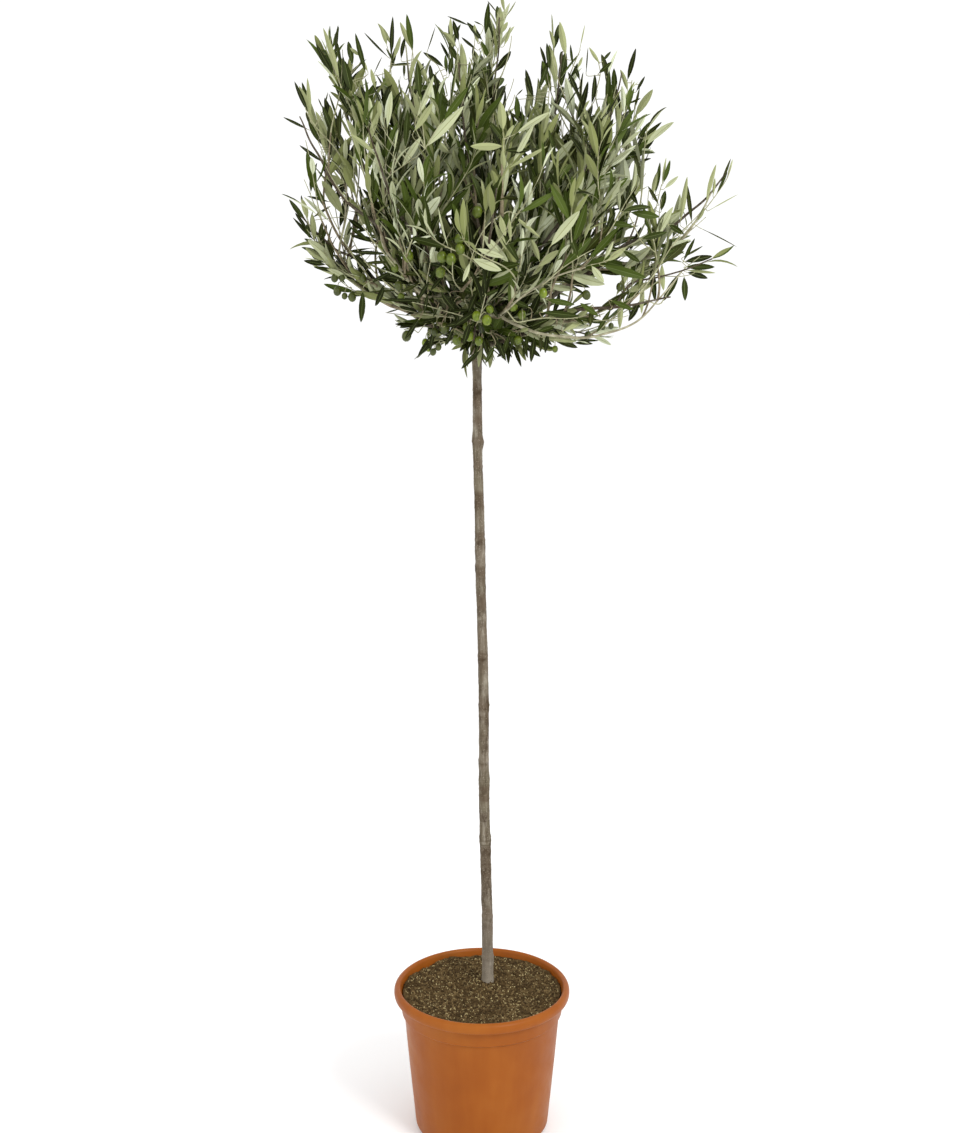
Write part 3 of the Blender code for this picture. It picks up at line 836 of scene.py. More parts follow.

# %% Limb skins
# limbs in the young bark: pale young wood, and paler still as painted back light
YOUNG_BACKLIT = ("low_sweep", "far_arm", "pale_spray", "left_upright", "left_rise")
STOUT, STOUT_SIDES, SLIM_SIDES = 0.0035, 14, 9          # a limb is stout from this radius
for order, limb in enumerate(limbs):
    sides = STOUT_SIDES if limb["radius"][0] > STOUT else SLIM_SIDES
    # marks: painted shade in the furrows and wrinkles, as on the stem
    relief, limb["marks"] = bark_relief(limb["path"], limb["radius"], sides, 20 + order, depth=0.8)
    limb["skin"] = tube(limb["path"], relief, sides)
skins = {}
# young: the limbs whose bark carries painted back light
young = [limb for limb in limbs if limb["name"] in YOUNG_BACKLIT]
older = [limb for limb in limbs[len(BOUGHS):] if limb["name"] not in YOUNG_BACKLIT]
for name, group, finish in (("bough_bark", limbs[:len(BOUGHS)], limb_bark_painted_shade),
                            ("branch_bark", older, limb_bark_painted_shade), ("young_backlit_bark", young, young_backlit_bark)):
    verts, faces = joined([limb["skin"] for limb in group])
    skins[name] = build(name, verts, faces, [finish])
    store_scars_and_shade(skins[name], [limb["marks"] for limb in group])
for piece in (stem, *skins.values()):
    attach(piece, "root")
    print(piece.name, "faces:", len(piece.data.polygons))
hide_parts("trunk")
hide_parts(*["bough_" + name for name in BOUGHS])

# %% [markdown]
# ## Sprays listed one by one
# Some sprays stand out from the rest: pale ones in front, long leaves on the outline, bare wood with
# few leaves low on the left. These are laid out as a gardener would arrange them from the
# front: each has the depths of its foot and tip, the places of its stem in the frame, and its
# leaves as base, tip, width and tone. Tones 0 to 4 show the dark upper face and 5 to 8 the pale
# lower one. The olives that hang in plain view are listed too: place, width, depth and skin.

# %% Spray table
SPRAYS = {
    "centre_brown": (-190, -190, ((502, 212), (502, 190), (502, 165), (504, 140)),
        ((505, 146, 470, 147, 10, 5), (503, 132, 500, 101, 12, 5), (515, 134, 550, 112, 8, 6),
         (512, 164, 534, 124, 7, 6), (507, 169, 548, 146, 5, 5), (503, 197, 521, 199, 6, 4),
         (504, 171, 502, 150, 7, 5), (505, 138, 514, 125, 5, 5), (504, 140, 490, 122, 7, 1),
         (503, 150, 530, 152, 8, 0))),
    "pale_fall": (-190, -198, ((505, 213), (495, 219), (486, 227), (479, 238), (474, 250), (470, 262)),
        ((481, 233, 507, 262, 11, 6), (475, 248, 504, 258, 8, 6), (471, 258, 502, 271, 12, 6),
         (494, 222, 507, 250, 7, 5), (500, 214, 505, 237, 8, 5), (496, 224, 520, 263, 9, 1),
         (509, 216, 511, 241, 5, 5), (512, 214, 541, 238, 5, 5), (470, 262, 463, 282, 6, 6))),
    "pale_sweep": (-60, -192, ((503, 316), (518, 300), (535, 292), (545, 283), (556, 276), (575, 269),
          (590, 265), (606, 261), (622, 250), (640, 239)),
        ((545, 284, 577, 293, 10, 6), (567, 274, 605, 285, 13, 6), (591, 265, 604, 283, 9, 6),
         (600, 265, 646, 278, 12, 2), (556, 277, 590, 287, 8, 0), (606, 262, 627, 247, 8, 5),
         (604, 260, 613, 241, 6, 6), (575, 268, 566, 250, 8, 2), (622, 250, 640, 262, 7, 1),
         (545, 283, 580, 266, 7, 2))),
    "pale_rise": (-60, -188, ((503, 316), (519, 297), (531, 277), (540, 263), (548, 252)),
        ((549, 248, 580, 209, 12, 6), (537, 268, 560, 248, 9, 5), (540, 262, 530, 238, 8, 5),
         (531, 277, 545, 262, 6, 5))),
    "green_pair": (-150, -165, ((545, 283), (560, 270), (578, 258), (592, 250)),
        ((560, 269, 594, 236, 11, 2), (588, 260, 622, 228, 10, 2), (578, 258, 570, 232, 8, 1))),
    "right_broad": (-90, -90, ((640, 239), (634, 226), (628, 214)),
        ((629, 212, 660, 217, 11, 2), (634, 226, 606, 222, 8, 2), (640, 239, 668, 232, 8, 1))),
    "right_mid": (-60, -60, ((655, 262), (668, 250), (682, 236)),
        ((668, 224, 684, 235, 8, 1), (662, 262, 663, 291, 8, 5), (651, 262, 655, 302, 8, 0),
         (643, 281, 642, 314, 8, 5), (640, 300, 629, 322, 8, 0), (621, 296, 620, 329, 8, 5),
         (627, 282, 631, 318, 4, 0), (668, 250, 690, 240, 4, 4))),
    "right_fan": (-45, -45, ((662, 302), (672, 286), (683, 270), (700, 256)),
        ((683, 262, 713, 256, 9, 0), (684, 267, 715, 267, 9, 1), (686, 272, 709, 278, 8, 0),
         (685, 270, 716, 273, 4, 5), (684, 275, 685, 301, 9, 1), (680, 272, 663, 302, 9, 1),
         (682, 258, 703, 246, 3, 4), (683, 262, 695, 238, 5, 1))),
    "far_leaves": (-30, -30, ((683, 236), (703, 212), (716, 195), (727, 178), (731, 166)),
        ((680, 224, 687, 176, 7, 5), (692, 224, 687, 184, 6, 4), (706, 204, 714, 163, 6, 5),
         (719, 190, 731, 158, 4, 4), (713, 196, 715, 178, 4, 5), (708, 211, 741, 192, 1.6, 5),
         (700, 228, 738, 246, 1.8, 4), (727, 178, 733, 160, 3, 6), (697, 222, 706, 206, 5, 5),
         (716, 195, 728, 172, 4, 1))),
    "right_step": (-20, -20, ((648, 232), (655, 212), (659, 196), (662, 184)),
        ((652, 198, 656, 170, 6, 5), (655, 195, 661, 162, 6, 1), (662, 186, 666, 157, 4, 5),
         (663, 184, 671, 160, 6, 2), (664, 189, 678, 176, 6, 6), (661, 212, 665, 190, 8, 1),
         (659, 205, 648, 186, 5, 4))),
    "right_shoulder": (0, 0, ((618, 150), (632, 134), (644, 120)),
        ((634, 118, 653, 88, 10, 5), (643, 138, 662, 122, 5, 0), (636, 142, 650, 120, 6, 1),
         (636, 150, 647, 128, 5, 0), (640, 162, 650, 158, 4, 0))),
    "right_crest": (10, 10, ((622, 112), (629, 95), (632, 80)),
        ((627, 82, 636, 48, 7, 0), (636, 92, 645, 76, 4, 0), (628, 92, 622, 68, 6, 5),
         (640, 86, 634, 110, 4, 4), (628, 104, 641, 98, 3, 4))),
    "right_arcs": (5, 5, ((596, 92), (600, 74), (598, 62)),
        ((600, 64, 589, 47, 5, 5), (602, 62, 611, 51, 4, 1), (586, 74, 588, 47, 1.8, 4),
         (615, 96, 614, 68, 8, 1), (598, 74, 612, 62, 6, 1))),
    "crest_thin": (0, 0, ((566, 86), (573, 66), (580, 50)),
        ((580, 48, 585, 24, 1.8, 5), (578, 68, 582, 58, 4, 5), (566, 58, 560, 21, 9, 5),
         (573, 66, 570, 44, 4, 1))),
    "mid_crest": (5, 5, ((548, 112), (549, 92), (551, 78)),
        ((557, 86, 549, 44, 11, 5), (550, 72, 547, 42, 6, 1), (541, 86, 543, 58, 4, 0),
         (533, 98, 525, 69, 7, 0), (517, 122, 517, 96, 9, 2), (516, 96, 523, 89, 2, 4),
         (536, 96, 524, 96, 3, 4), (538, 92, 550, 58, 7, 1))),
    "peak": (0, 0, ((492, 70), (492, 52), (494, 36), (499, 20)),
        ((485, 37, 489, 1, 8, 1), (499, 40, 500, 7, 10, 5), (505, 13, 500, -9, 5, 5),
         (504, 46, 511, 28, 5, 5), (495, 73, 511, 51, 9, 0), (498, 14, 487, 0, 1.8, 4),
         (505, 18, 518, 0, 2, 5), (500, 34, 508, 22, 6, 5), (490, 60, 480, 40, 7, 2))),
    "peak_left": (-10, -10, ((485, 58), (481, 46), (478, 40)),
        ((483, 41, 467, 22, 7, 0), (470, 26, 448, 16, 3, 0), (477, 50, 460, 37, 4, 0),
         (482, 25, 474, 21, 2, 4), (478, 44, 474, 24, 6, 5))),
    "left_peak": (-5, -5, ((462, 92), (459, 74), (457, 56)),
        ((459, 42, 453, 20, 7, 0), (457, 48, 442, 28, 8, 5), (466, 80, 461, 42, 9, 5),
         (458, 62, 449, 44, 8, 1), (452, 64, 448, 24, 3, 4), (474, 62, 474, 46, 5, 0))),
    "left_blade": (-15, -15, ((447, 94), (443, 78), (438, 66)),
        ((445, 68, 423, 52, 7, 0), (432, 84, 430, 64, 6, 0), (427, 52, 436, 26, 1.8, 4),
         (449, 76, 452, 56, 7, 1), (429, 86, 417, 58, 7, 5), (447, 74, 445, 54, 5, 2))),
    "spear": (0, 0, ((416, 84), (414, 68), (413, 54)),
        ((413, 54, 407, 14, 8, 2), (412, 50, 400, 22, 7, 5), (401, 60, 404, 36, 6, 0),
         (404, 78, 404, 62, 4, 4), (389, 66, 411, 63, 4, 1))),
    "left_spears": (-10, -10, ((394, 90), (391, 74), (391, 58)),
        ((387, 46, 382, 26, 6, 5), (391, 58, 393, 16, 6, 0), (393, 60, 401, 36, 6, 5),
         (389, 58, 363, 33, 3, 0), (374, 74, 382, 56, 1.8, 4), (395, 64, 386, 48, 3, 1))),
    "left_gate": (-15, -15, ((372, 118), (362, 96), (350, 76)),
        ((366, 74, 355, 33, 7, 1), (353, 66, 348, 40, 8, 1), (352, 94, 344, 60, 12, 1),
         (349, 100, 341, 54, 6, 0), (368, 72, 360, 56, 5, 5), (376, 90, 371, 68, 6, 5),
         (360, 56, 350, 48, 5, 5))),
    "left_mast": (-20, -20, ((360, 128), (350, 106), (341, 86), (335, 70)),
        ((352, 116, 331, 80, 6, 0), (334, 77, 315, 43, 6, 0), (340, 82, 324, 26, 8, 5),
         (335, 58, 338, 21, 4, 0), (332, 60, 331, 36, 3, 4), (341, 86, 338, 62, 3, 0),
         (358, 128, 352, 104, 6, 5))),
    "edge_high": (-10, -10, ((336, 186), (328, 166), (321, 148), (313, 130)),
        ((309, 114, 294, 81, 6, 0), (310, 119, 308, 78, 6, 5), (309, 130, 283, 117, 4, 0),
         (319, 143, 309, 119, 7, 1), (328, 160, 320, 116, 10, 5), (336, 142, 323, 105, 9, 1),
         (331, 158, 328, 124, 6, 0), (324, 163, 299, 145, 5, 0), (323, 109, 318, 98, 2, 4),
         (324, 108, 328, 92, 2, 4), (341, 128, 328, 92, 3, 4), (340, 143, 337, 106, 7, 4),
         (352, 140, 341, 118, 4, 5))),
    "edge_low": (-20, -20, ((346, 212), (342, 198), (338, 188)),
        ((345, 184, 324, 176, 12, 5), (344, 216, 322, 180, 14, 5), (330, 202, 307, 196, 4, 0),
         (312, 218, 331, 206, 4, 4), (336, 188, 318, 172, 2, 4))),
    "low_fist": (-30, -30, ((374, 284), (355, 278), (340, 270), (328, 262), (320, 250), (313, 236)),
        ((308, 220, 302, 198, 8, 5), (308, 231, 295, 212, 5, 0), (315, 241, 312, 214, 8, 5),
         (319, 242, 324, 222, 7, 4), (322, 241, 327, 225, 6, 1), (310, 239, 305, 222, 7, 1),
         (328, 262, 304, 248, 9, 5), (327, 265, 303, 261, 7, 0), (325, 263, 305, 254, 5, 1),
         (334, 262, 327, 240, 6, 4), (303, 206, 301, 195, 3, 0), (336, 257, 329, 239, 4, 4))),
    "left_bare": (-25, -25, ((372, 282), (356, 273), (344, 262), (339, 248), (343, 233), (347, 216),
          (353, 190)),
        ((347, 218, 365, 231, 7, 0), (381, 243, 351, 234, 7, 0), (350, 211, 368, 215, 2, 4),
         (372, 248, 344, 252, 3, 0), (352, 253, 372, 270, 8, 0), (345, 261, 372, 250, 4, 0),
         (347, 236, 352, 226, 3, 0), (362, 205, 360, 186, 4, 0))),
    "hanging": (-35, -35, ((396, 284), (381, 281), (370, 282), (364, 286)),
        ((363, 289, 361, 323, 9, 1), (385, 283, 374, 306, 5, 0), (423, 299, 383, 301, 5, 0),
         (400, 290, 368, 292, 3, 4))),
    "foot_left": (-60, -60, ((458, 318), (440, 316), (422, 314), (404, 310)),
        ((420, 318, 405, 341, 6, 0), (437, 320, 428, 352, 7, 0), (438, 318, 422, 323, 5, 0),
         (456, 322, 446, 345, 6, 0), (450, 324, 443, 332, 4, 1), (400, 309, 386, 312, 2, 4))),
    "foot_right": (-75, -75, ((508, 320), (524, 324), (541, 337), (560, 339), (590, 336)),
        ((541, 337, 577, 341, 7, 5), (575, 340, 598, 341, 4, 0), (519, 330, 517, 352, 7, 4),
         (535, 335, 531, 362, 8, 0), (541, 332, 541, 353, 6, 4), (548, 332, 545, 353, 6, 0),
         (491, 330, 503, 357, 7, 0), (483, 336, 487, 357, 5, 0), (497, 338, 506, 361, 7, 0),
         (509, 334, 502, 358, 6, 1), (521, 336, 528, 358, 6, 0), (528, 334, 523, 357, 7, 1),
         (505, 340, 516, 355, 6, 0), (480, 340, 474, 362, 7, 0), (479, 350, 461, 368, 7, 0),
         (495, 345, 485, 364, 6, 1), (560, 334, 592, 306, 9, 5), (512, 330, 512, 348, 5, 1))),
    "left_fan": (-150, -185, ((387, 190), (387, 179), (400, 168), (416, 157), (425, 149)),
        ((380, 177, 377, 141, 9, 6), (401, 168, 420, 136, 9, 6), (424, 149, 464, 106, 11, 6),
         (442, 122, 469, 87, 9, 2), (413, 133, 434, 102, 9, 5), (416, 119, 436, 77, 8, 6),
         (420, 100, 417, 61, 9, 1), (387, 130, 392, 91, 7, 6), (367, 147, 380, 109, 8, 5),
         (371, 121, 370, 98, 6, 6), (380, 118, 379, 101, 6, 5), (385, 160, 396, 120, 8, 2),
         (405, 150, 408, 108, 8, 1))),
    # dark_core: leaves mostly in the darkest upper tone, painted shade of the crown's heart
    "dark_core": (-105, -105, ((478, 322), (462, 316), (444, 311), (428, 306), (412, 302)),
        ((440, 315, 470, 309, 8, 0), (443, 327, 468, 321, 7, 0), (428, 301, 381, 300, 5, 0),
         (428, 292, 424, 314, 5, 0), (439, 303, 433, 317, 4, 0), (452, 330, 445, 346, 5, 0),
         (470, 322, 463, 345, 8, 0), (455, 300, 447, 318, 7, 0), (450, 294, 458, 322, 9, 0),
         (455, 285, 480, 296, 8, 1), (440, 290, 452, 310, 7, 0), (470, 300, 492, 312, 8, 0),
         (445, 275, 430, 290, 6, 0), (425, 262, 447, 268, 7, 0), (425, 275, 395, 272, 6, 4),
         (463, 300, 441, 296, 7, 0), (470, 285, 447, 283, 7, 0), (478, 310, 455, 325, 8, 0),
         (430, 280, 418, 300, 6, 0), (420, 283, 400, 292, 6, 4), (466, 272, 452, 292, 8, 0),
         (478, 290, 468, 312, 8, 0), (488, 300, 498, 318, 7, 0), (460, 312, 452, 332, 7, 0),
         (482, 296, 500, 290, 6, 1))),
    # dark_left: leaves mostly in the darkest upper tone, painted shade of the crown's heart
    "dark_left": (-95, -95, ((398, 292), (386, 283), (374, 272)),
        ((352, 253, 369, 269, 6, 0), (349, 252, 386, 253, 5, 0), (371, 243, 350, 226, 6, 1),
         (385, 286, 376, 306, 6, 0), (420, 318, 404, 340, 6, 0), (390, 262, 366, 262, 5, 4),
         (395, 270, 372, 282, 6, 0), (404, 280, 384, 276, 6, 0), (392, 250, 378, 238, 6, 0),
         (410, 262, 396, 250, 5, 1))),
    "low_right": (-120, -120, ((520, 322), (545, 318), (572, 318), (598, 312)),
        ((540, 312, 580, 316, 9, 1), (545, 299, 575, 305, 8, 2), (563, 331, 584, 321, 6, 5),
         (586, 326, 568, 312, 6, 1), (600, 317, 580, 303, 7, 2), (556, 326, 538, 332, 7, 1),
         (592, 305, 590, 327, 7, 4), (612, 307, 597, 333, 6, 1), (575, 318, 606, 322, 7, 1),
         (530, 308, 512, 300, 7, 1), (552, 318, 530, 326, 7, 0), (610, 300, 634, 310, 7, 2))),
}
print("sprays set by hand:", len(SPRAYS))

# %% Olives and leaves in plain view
FRUIT = (
    (335, 284, 8, -30, 2), (342, 283, 7.5, -30, 2), (338, 297, 9, -30, 2), (345, 302, 6.5, -30, 2),
    (352, 303, 9, -32, 2), (363, 284, 8, -34, 2), (408, 342, 10.5, -60, 2), (434, 338, 8, -62, 2),
    (445, 334, 11, -66, 2), (439, 353, 7, -60, 2), (434, 358, 7, -60, 2), (457, 346, 10, -70, 0),
    (460, 245, 9.5, -185, 0), (460, 255, 10, -188, 0), (442, 263, 10.5, -180, 0), (451, 265, 10.5, -186, 0),
    (442, 279, 10, -170, 0), (478, 219, 11, -190, 0), (470, 342, 10, -78, 1), (479, 347, 9, -80, 0),
    (477, 322, 9.5, -120, 1), (486, 326, 10, -122, 1), (489, 316, 8, -118, 1), (513, 312, 10, -110, 1),
    (522, 321, 9, -105, 0), (518, 346, 8.5, -80, 0), (543, 299, 9, -150, 1), (585, 301, 9, -120, 2),
    (620, 293, 8, -90, 2), (603, 333, 6, -80, 2), (611, 332, 6, -78, 2), (588, 341, 7.5, -80, 2),
    (555, 355, 6.5, -75, 0), (408, 262, 11, -120, 0), (395, 274, 8, -110, 0), (382, 251, 9, -90, 0),
    (398, 292, 9, -100, 2), (401, 303, 7.5, -95, 0), (467, 333, 9, -80, 0),
)
# sprays deep in the crown's shade, whose leaves are listed in dark tones as painted shade
SHADED = ("dark_core", "dark_left", "low_right", "foot_right")     # leaves on any wood near by


def spray_depth(foot, tip, stem_line, across, down):
    """Depth of a spray where its stem passes nearest to a place in the frame."""
    line = curve(stem_line, 30)
    near = int(np.argmin(np.hypot(line[:, 0] - across, line[:, 1] - down)))
    return foot + (tip - foot) * near / (len(line) - 1)


hand_leaves = []        # each: spray, place of the base, place of the tip, depth, width, tone
for name, (foot, tip, stem_line, leaves) in SPRAYS.items():
    for x0, y0, x1, y1, width, shade in leaves:
        depth = spray_depth(foot, tip, stem_line, x0, y0)
        hand_leaves.append((name, (x0, y0), (x1, y1), depth, width, shade))
print("leaves set by hand:", len(hand_leaves), "olives:", len(FRUIT))

# %% [markdown]
# ## How the shoots grow
# The rule is simple. Pick a spot near the skin of a clump, step back along the way a shoot points
# there, and call that the shoot's tip. Then find the best place on the wood already grown: not too
# near or far, and not a sharp turn. Join the two with a smooth curve, add it to the wood, go on.
# Later shoots may spring from earlier ones, so sprays fork as they do on the tree.

# %% Clump solids to grow in
solids = {}     # a tree to ask what is near, the points, the triangles
for name in MASSES:
    mesh = frame["nodes"]["foliage_" + name].data
    verts = [v.co.copy() for v in mesh.vertices]
    mesh.calc_loop_triangles()
    triangles = [tuple(t.vertices) for t in mesh.loop_triangles]
    solids[name] = (BVHTree.FromPolygons(verts, triangles), np.array(verts), np.array(triangles))


def inside(point, names=None):
    """Names of the clumps that hold a point."""
    found = []
    for name in names or solids:
        place, normal, _, _ = solids[name][0].find_nearest(Vector(point))
        if place is not None and (Vector(point) - place).dot(normal) < 0:
            found.append(name)
    return found


def skin_spots(name, spacing, rng):
    """Random spots on the skin of a clump, with the way the skin faces."""
    _, v, t = solids[name]
    a, b, c = v[t[:, 0]], v[t[:, 1]], v[t[:, 2]]
    cross = np.cross(b - a, c - a)
    area = np.linalg.norm(cross, axis=1) / 2
    count = int(area.sum() / spacing ** 2 * 3)
    pick = rng.choice(len(t), count, p=area / area.sum())
    r1, r2 = np.sqrt(rng.random(count))[:, None], rng.random(count)[:, None]
    spots = a[pick] * (1 - r1) + b[pick] * r1 * (1 - r2) + c[pick] * r1 * r2
    return spots, cross[pick] / (2 * area[pick][:, None])


print("clump solids:", len(solids), "triangles:", sum(len(t) for _, _, t in solids.values()))

# %% [markdown]
# ## Gaps where the sky shows
# An olive's crown is airy: light comes through it in many small places. Each gap is an oval on the
# upright plane through the stem, as seen from the camera. Leaves and lone twigs that would cover
# a gap are left out, and so are random leaves in front of the listed ones.

# %% Gaps
SKY = (  # gaps where sky shows: the places of both ends in the frame, and the width
    (325, 88, 352, 132, 11), (300, 140, 322, 152, 14), (347, 114, 352, 148, 7), (368, 158, 354, 190, 10),
    (344, 26, 344, 60, 10), (362, 38, 384, 68, 20), (372, 52, 377, 78, 14), (370, 26, 384, 46, 12),
    (322, 70, 322, 106, 20), (290, 100, 303, 118, 10), (403, 67, 412, 76, 11), (421, 30, 419, 56, 16),
    (432, 26, 438, 50, 16), (453, 76, 447, 96, 6), (400, 90, 409, 88, 5), (481, 10, 480, 30, 7),
    (519, 28, 517, 88, 26), (490, 151, 491, 163, 6), (464, 123, 461, 134, 5), (449, 133, 443, 145, 5),
    (412, 167, 408, 185, 4), (352, 188, 358, 211, 11), (366, 194, 369, 213, 10), (292, 168, 306, 190, 18),
    (331, 206, 334, 248, 12), (346, 240, 378, 246, 12), (351, 216, 367, 221, 6), (384, 249, 378, 263, 5),
    (346, 256, 356, 271, 6), (404, 250, 425, 246, 5), (375, 199, 383, 194, 7), (397, 206, 391, 217, 4),
    (433, 235, 441, 243, 6), (444, 212, 453, 206, 5), (461, 187, 469, 191, 6), (444, 280, 450, 285, 5),
    (350, 291, 362, 284, 6), (366, 298, 378, 318, 18), (345, 314, 402, 334, 22), (388, 311, 425, 322, 9),
    (400, 291, 425, 295, 4), (421, 326, 418, 352, 14), (372, 358, 408, 339, 18), (386, 368, 460, 368, 22),
    (440, 352, 462, 362, 12), (550, 342, 566, 352, 9), (524, 371, 622, 365, 20), (533, 62, 534, 92, 8),
    (572, 26, 570, 56, 14), (584, 54, 586, 76, 5), (592, 97, 611, 75, 5), (591, 112, 607, 95, 9),
    (573, 112, 559, 142, 9), (568, 96, 557, 112, 6), (579, 81, 571, 94, 6), (616, 115, 609, 150, 6),
    (623, 143, 617, 157, 8), (578, 162, 580, 175, 7), (633, 161, 628, 177, 4), (622, 57, 627, 86, 7),
    (617, 54, 622, 70, 10), (553, 157, 545, 170, 5), (527, 193, 527, 205, 4), (597, 189, 604, 196, 7),
    (594, 221, 592, 235, 6), (617, 205, 620, 221, 8), (640, 190, 642, 208, 6), (629, 226, 633, 239, 4),
    (628, 251, 632, 259, 6), (654, 150, 644, 190, 12), (674, 172, 668, 212, 13), (698, 170, 692, 228, 16),
    (694, 250, 742, 168, 46), (291, 94, 291, 172, 26), (664, 325, 640, 311, 16), (628, 336, 668, 320, 16),
    (580, 347, 618, 360, 16), (612, 304, 616, 327, 6), (628, 303, 626, 321, 5), (636, 281, 638, 302, 5),
    (588, 322, 583, 331, 5),
)
AT_STEM = 0.00151               # metres for one step across the frame, as far off as the stem is
LEAF_CLEAR, LEAF_RIM = 0.00065, 0.002   # half width kept clear for a unit of leaf width, and a rim
FRUIT_CLEAR = 0.0013            # the same for a fruit


def from_front(points):
    """Where points land on the plane y = 0, looked at from the camera."""
    here = np.array(camera.location)
    scale = here[1] / (here[1] - points[:, 1])
    return points[:, 0] * scale, here[2] + (points[:, 2] - here[2]) * scale


def in_gaps(points, gaps):
    """Whether each point lies in a gap and, where a gap has a depth, in front of that depth."""
    x, z = from_front(points)
    found = np.zeros(len(points), bool)
    for cx, cz, long, wide, lean, *depth in gaps:
        c, s = math.cos(math.radians(lean)), math.sin(math.radians(lean))
        u, v = (x - cx) * c + (z - cz) * s, -(x - cx) * s + (z - cz) * c
        hit = (u / long) ** 2 + (v / wide) ** 2 < 1
        found |= hit & (points[:, 1] < depth[0] + 0.004) if depth else hit
    return found


def oval(one, two, wide):
    """An oval on the plane y = 0, as the camera sees it: centre, half length, half width, lean."""
    x, z = from_front(np.array([one, two]))
    lean = math.degrees(math.atan2(z[1] - z[0], x[1] - x[0]))
    return x.mean(), z.mean(), math.hypot(x[1] - x[0], z[1] - z[0]) / 2, wide, lean


AIR = [oval(seen(x0, y0, 0), seen(x1, y1, 0), width * AT_STEM / 2) for x0, y0, x1, y1, width in SKY]


IN_VIEW = []                    # what keeps the listed leaves and olives in plain view
for _, base, end, depth, width, _ in hand_leaves:
    wide = LEAF_CLEAR * width + LEAF_RIM
    IN_VIEW.append((*oval(seen(*base, depth), seen(*end, depth), wide), depth * 0.001))
for across, down, width, depth, _ in FRUIT:
    x, z = from_front(seen(across, down, depth)[None])
    IN_VIEW.append((x[0], z[0], width * FRUIT_CLEAR, width * FRUIT_CLEAR, 0.0, depth * 0.001))
print("gaps:", len(AIR), "places in plain view:", len(IN_VIEW))

# %% [markdown]
# ## Where the shoots end
# Most tips are drawn at random near the skins of the clumps and kept only where they are far enough
# apart, which spreads them evenly. The tall shoots of the outline are placed one by one, and short
# dark ones hide the head of the stem, where the real crown is too thick to look into. Their leaves
# are dark as painted shade.

# %% Tips inside the clumps
HUB = np.array((0.0, 0.0, 1.235))
UP = np.array((0.0, 0.0, 1.0))
DRIFT = np.array((0.16, 0.0, 0.0))      # the whole crown leans a little this way
LOW = {"under_right": -0.10, "under_left": -0.05, "under_front": -0.25, "under_back": -0.20,
       "right_low": 0.15, "right_tip": 0.20, "left_low": 0.55, "right_arm": 0.60}


def shoot_way(spot, facing, clump):
    """The way a shoot points at a spot: up, away from the hub, and a little out of the skin."""
    lift = LOW.get(clump, 0.95)
    return unit(UP * lift + unit(spot - HUB) * 0.80 + facing * 0.30 + DRIFT)


def tip_targets(spacing, rng):
    """Tips for the outer shoots, as (tip, way), spread evenly over the crown."""
    chosen, kept = [], np.zeros((0, 3))
    for name in MASSES:
        spots, facing = skin_spots(name, spacing, rng)
        for spot, face in zip(spots, facing):
            way = shoot_way(spot, face, name)
            if way.dot(face) < -0.10:
                continue
            tip = spot - way * rng.uniform(0.030, 0.044)
            if len(kept) and np.min(np.linalg.norm(kept - tip, axis=1)) < spacing:
                continue
            if not inside(tip) or [n for n in inside(spot + face * 0.004) if n != name]:
                continue
            kept = np.vstack([kept, tip])
            chosen.append((tip, way))
    return chosen


def inner_targets(spacing, kept, rng):
    """Tips for the inner shoots, inside the clumps and clear of the others."""
    chosen = []
    for name in MASSES:
        low, high = solids[name][1].min(0), solids[name][1].max(0)
        for _ in range(int(np.prod(high - low) / spacing ** 3 * 4)):
            spot = rng.uniform(low, high)
            if np.min(np.linalg.norm(kept - spot, axis=1)) < spacing or not inside(spot, [name]):
                continue
            kept = np.vstack([kept, spot])
            chosen.append((spot, shoot_way(spot, rng.normal(size=3) * 0.5, name)))
    return chosen


OUTER_SPACING, INNER_SPACING = 0.048, 0.050
outer_tips = tip_targets(OUTER_SPACING, np.random.default_rng(7))
inner_tips = inner_targets(INNER_SPACING, np.array([t[0] for t in outer_tips]), np.random.default_rng(8))
print("outer tips:", len(outer_tips), "inner tips:", len(inner_tips))

# %% Tips of the outline and the short shoots
SPIRES = (  # the outline's own points: across, down, depth
    (327, 24, 30), (339, 22, 0), (352, 50, -30), (366, 70, -60), (381, 84, -90), (389, 17, 0),
    (404, 17, -40), (434, 44, -20), (450, 22, 20), (462, 42, -50), (497, 2, 0), (512, 8, -20),
    (533, 74, 30), (556, 22, 0), (583, 52, -20), (600, 62, -60), (610, 50, 50), (640, 78, 0),
    (652, 100, -30), (655, 162, -40), (668, 172, -20), (306, 84, 30), (305, 205, -20), (318, 222, -40),
)


def spire_tips():
    """Shoots that reach the places where the crown's outline has its own points."""
    found = []
    for spot in (seen(*place) for place in SPIRES):
        way = unit(UP + 0.30 * unit(spot - HUB) * (1, 1, 0))
        found.append((spot - way * 0.040, way))
    return found


GOLDEN_ANGLE = 2.399963
SKIRT, THATCH = 40, 52          # numbers of short shoots


def turned_out(k, spread, rng):
    """The way out of the stem for the k-th shoot of a spiral."""
    a = GOLDEN_ANGLE * k + rng.normal() * spread
    return np.array((math.cos(a), math.sin(a), 0.0))


def skirt_tips(rng):
    """Short drooping shoots round the head of the stem, which hide where the limbs leave it; their leaves
    are painted shade.
    """
    found = []
    for k in range(SKIRT):
        out, reach = turned_out(k, 0.15, rng), 0.022 + 0.105 * (k / (SKIRT - 1)) ** 0.8
        spot = stem_centre(1.254) + out * reach + UP * (0.16 * reach + rng.normal() * 0.006)
        found.append((spot, unit(out - UP * rng.uniform(0.20, 0.90))))
    return found


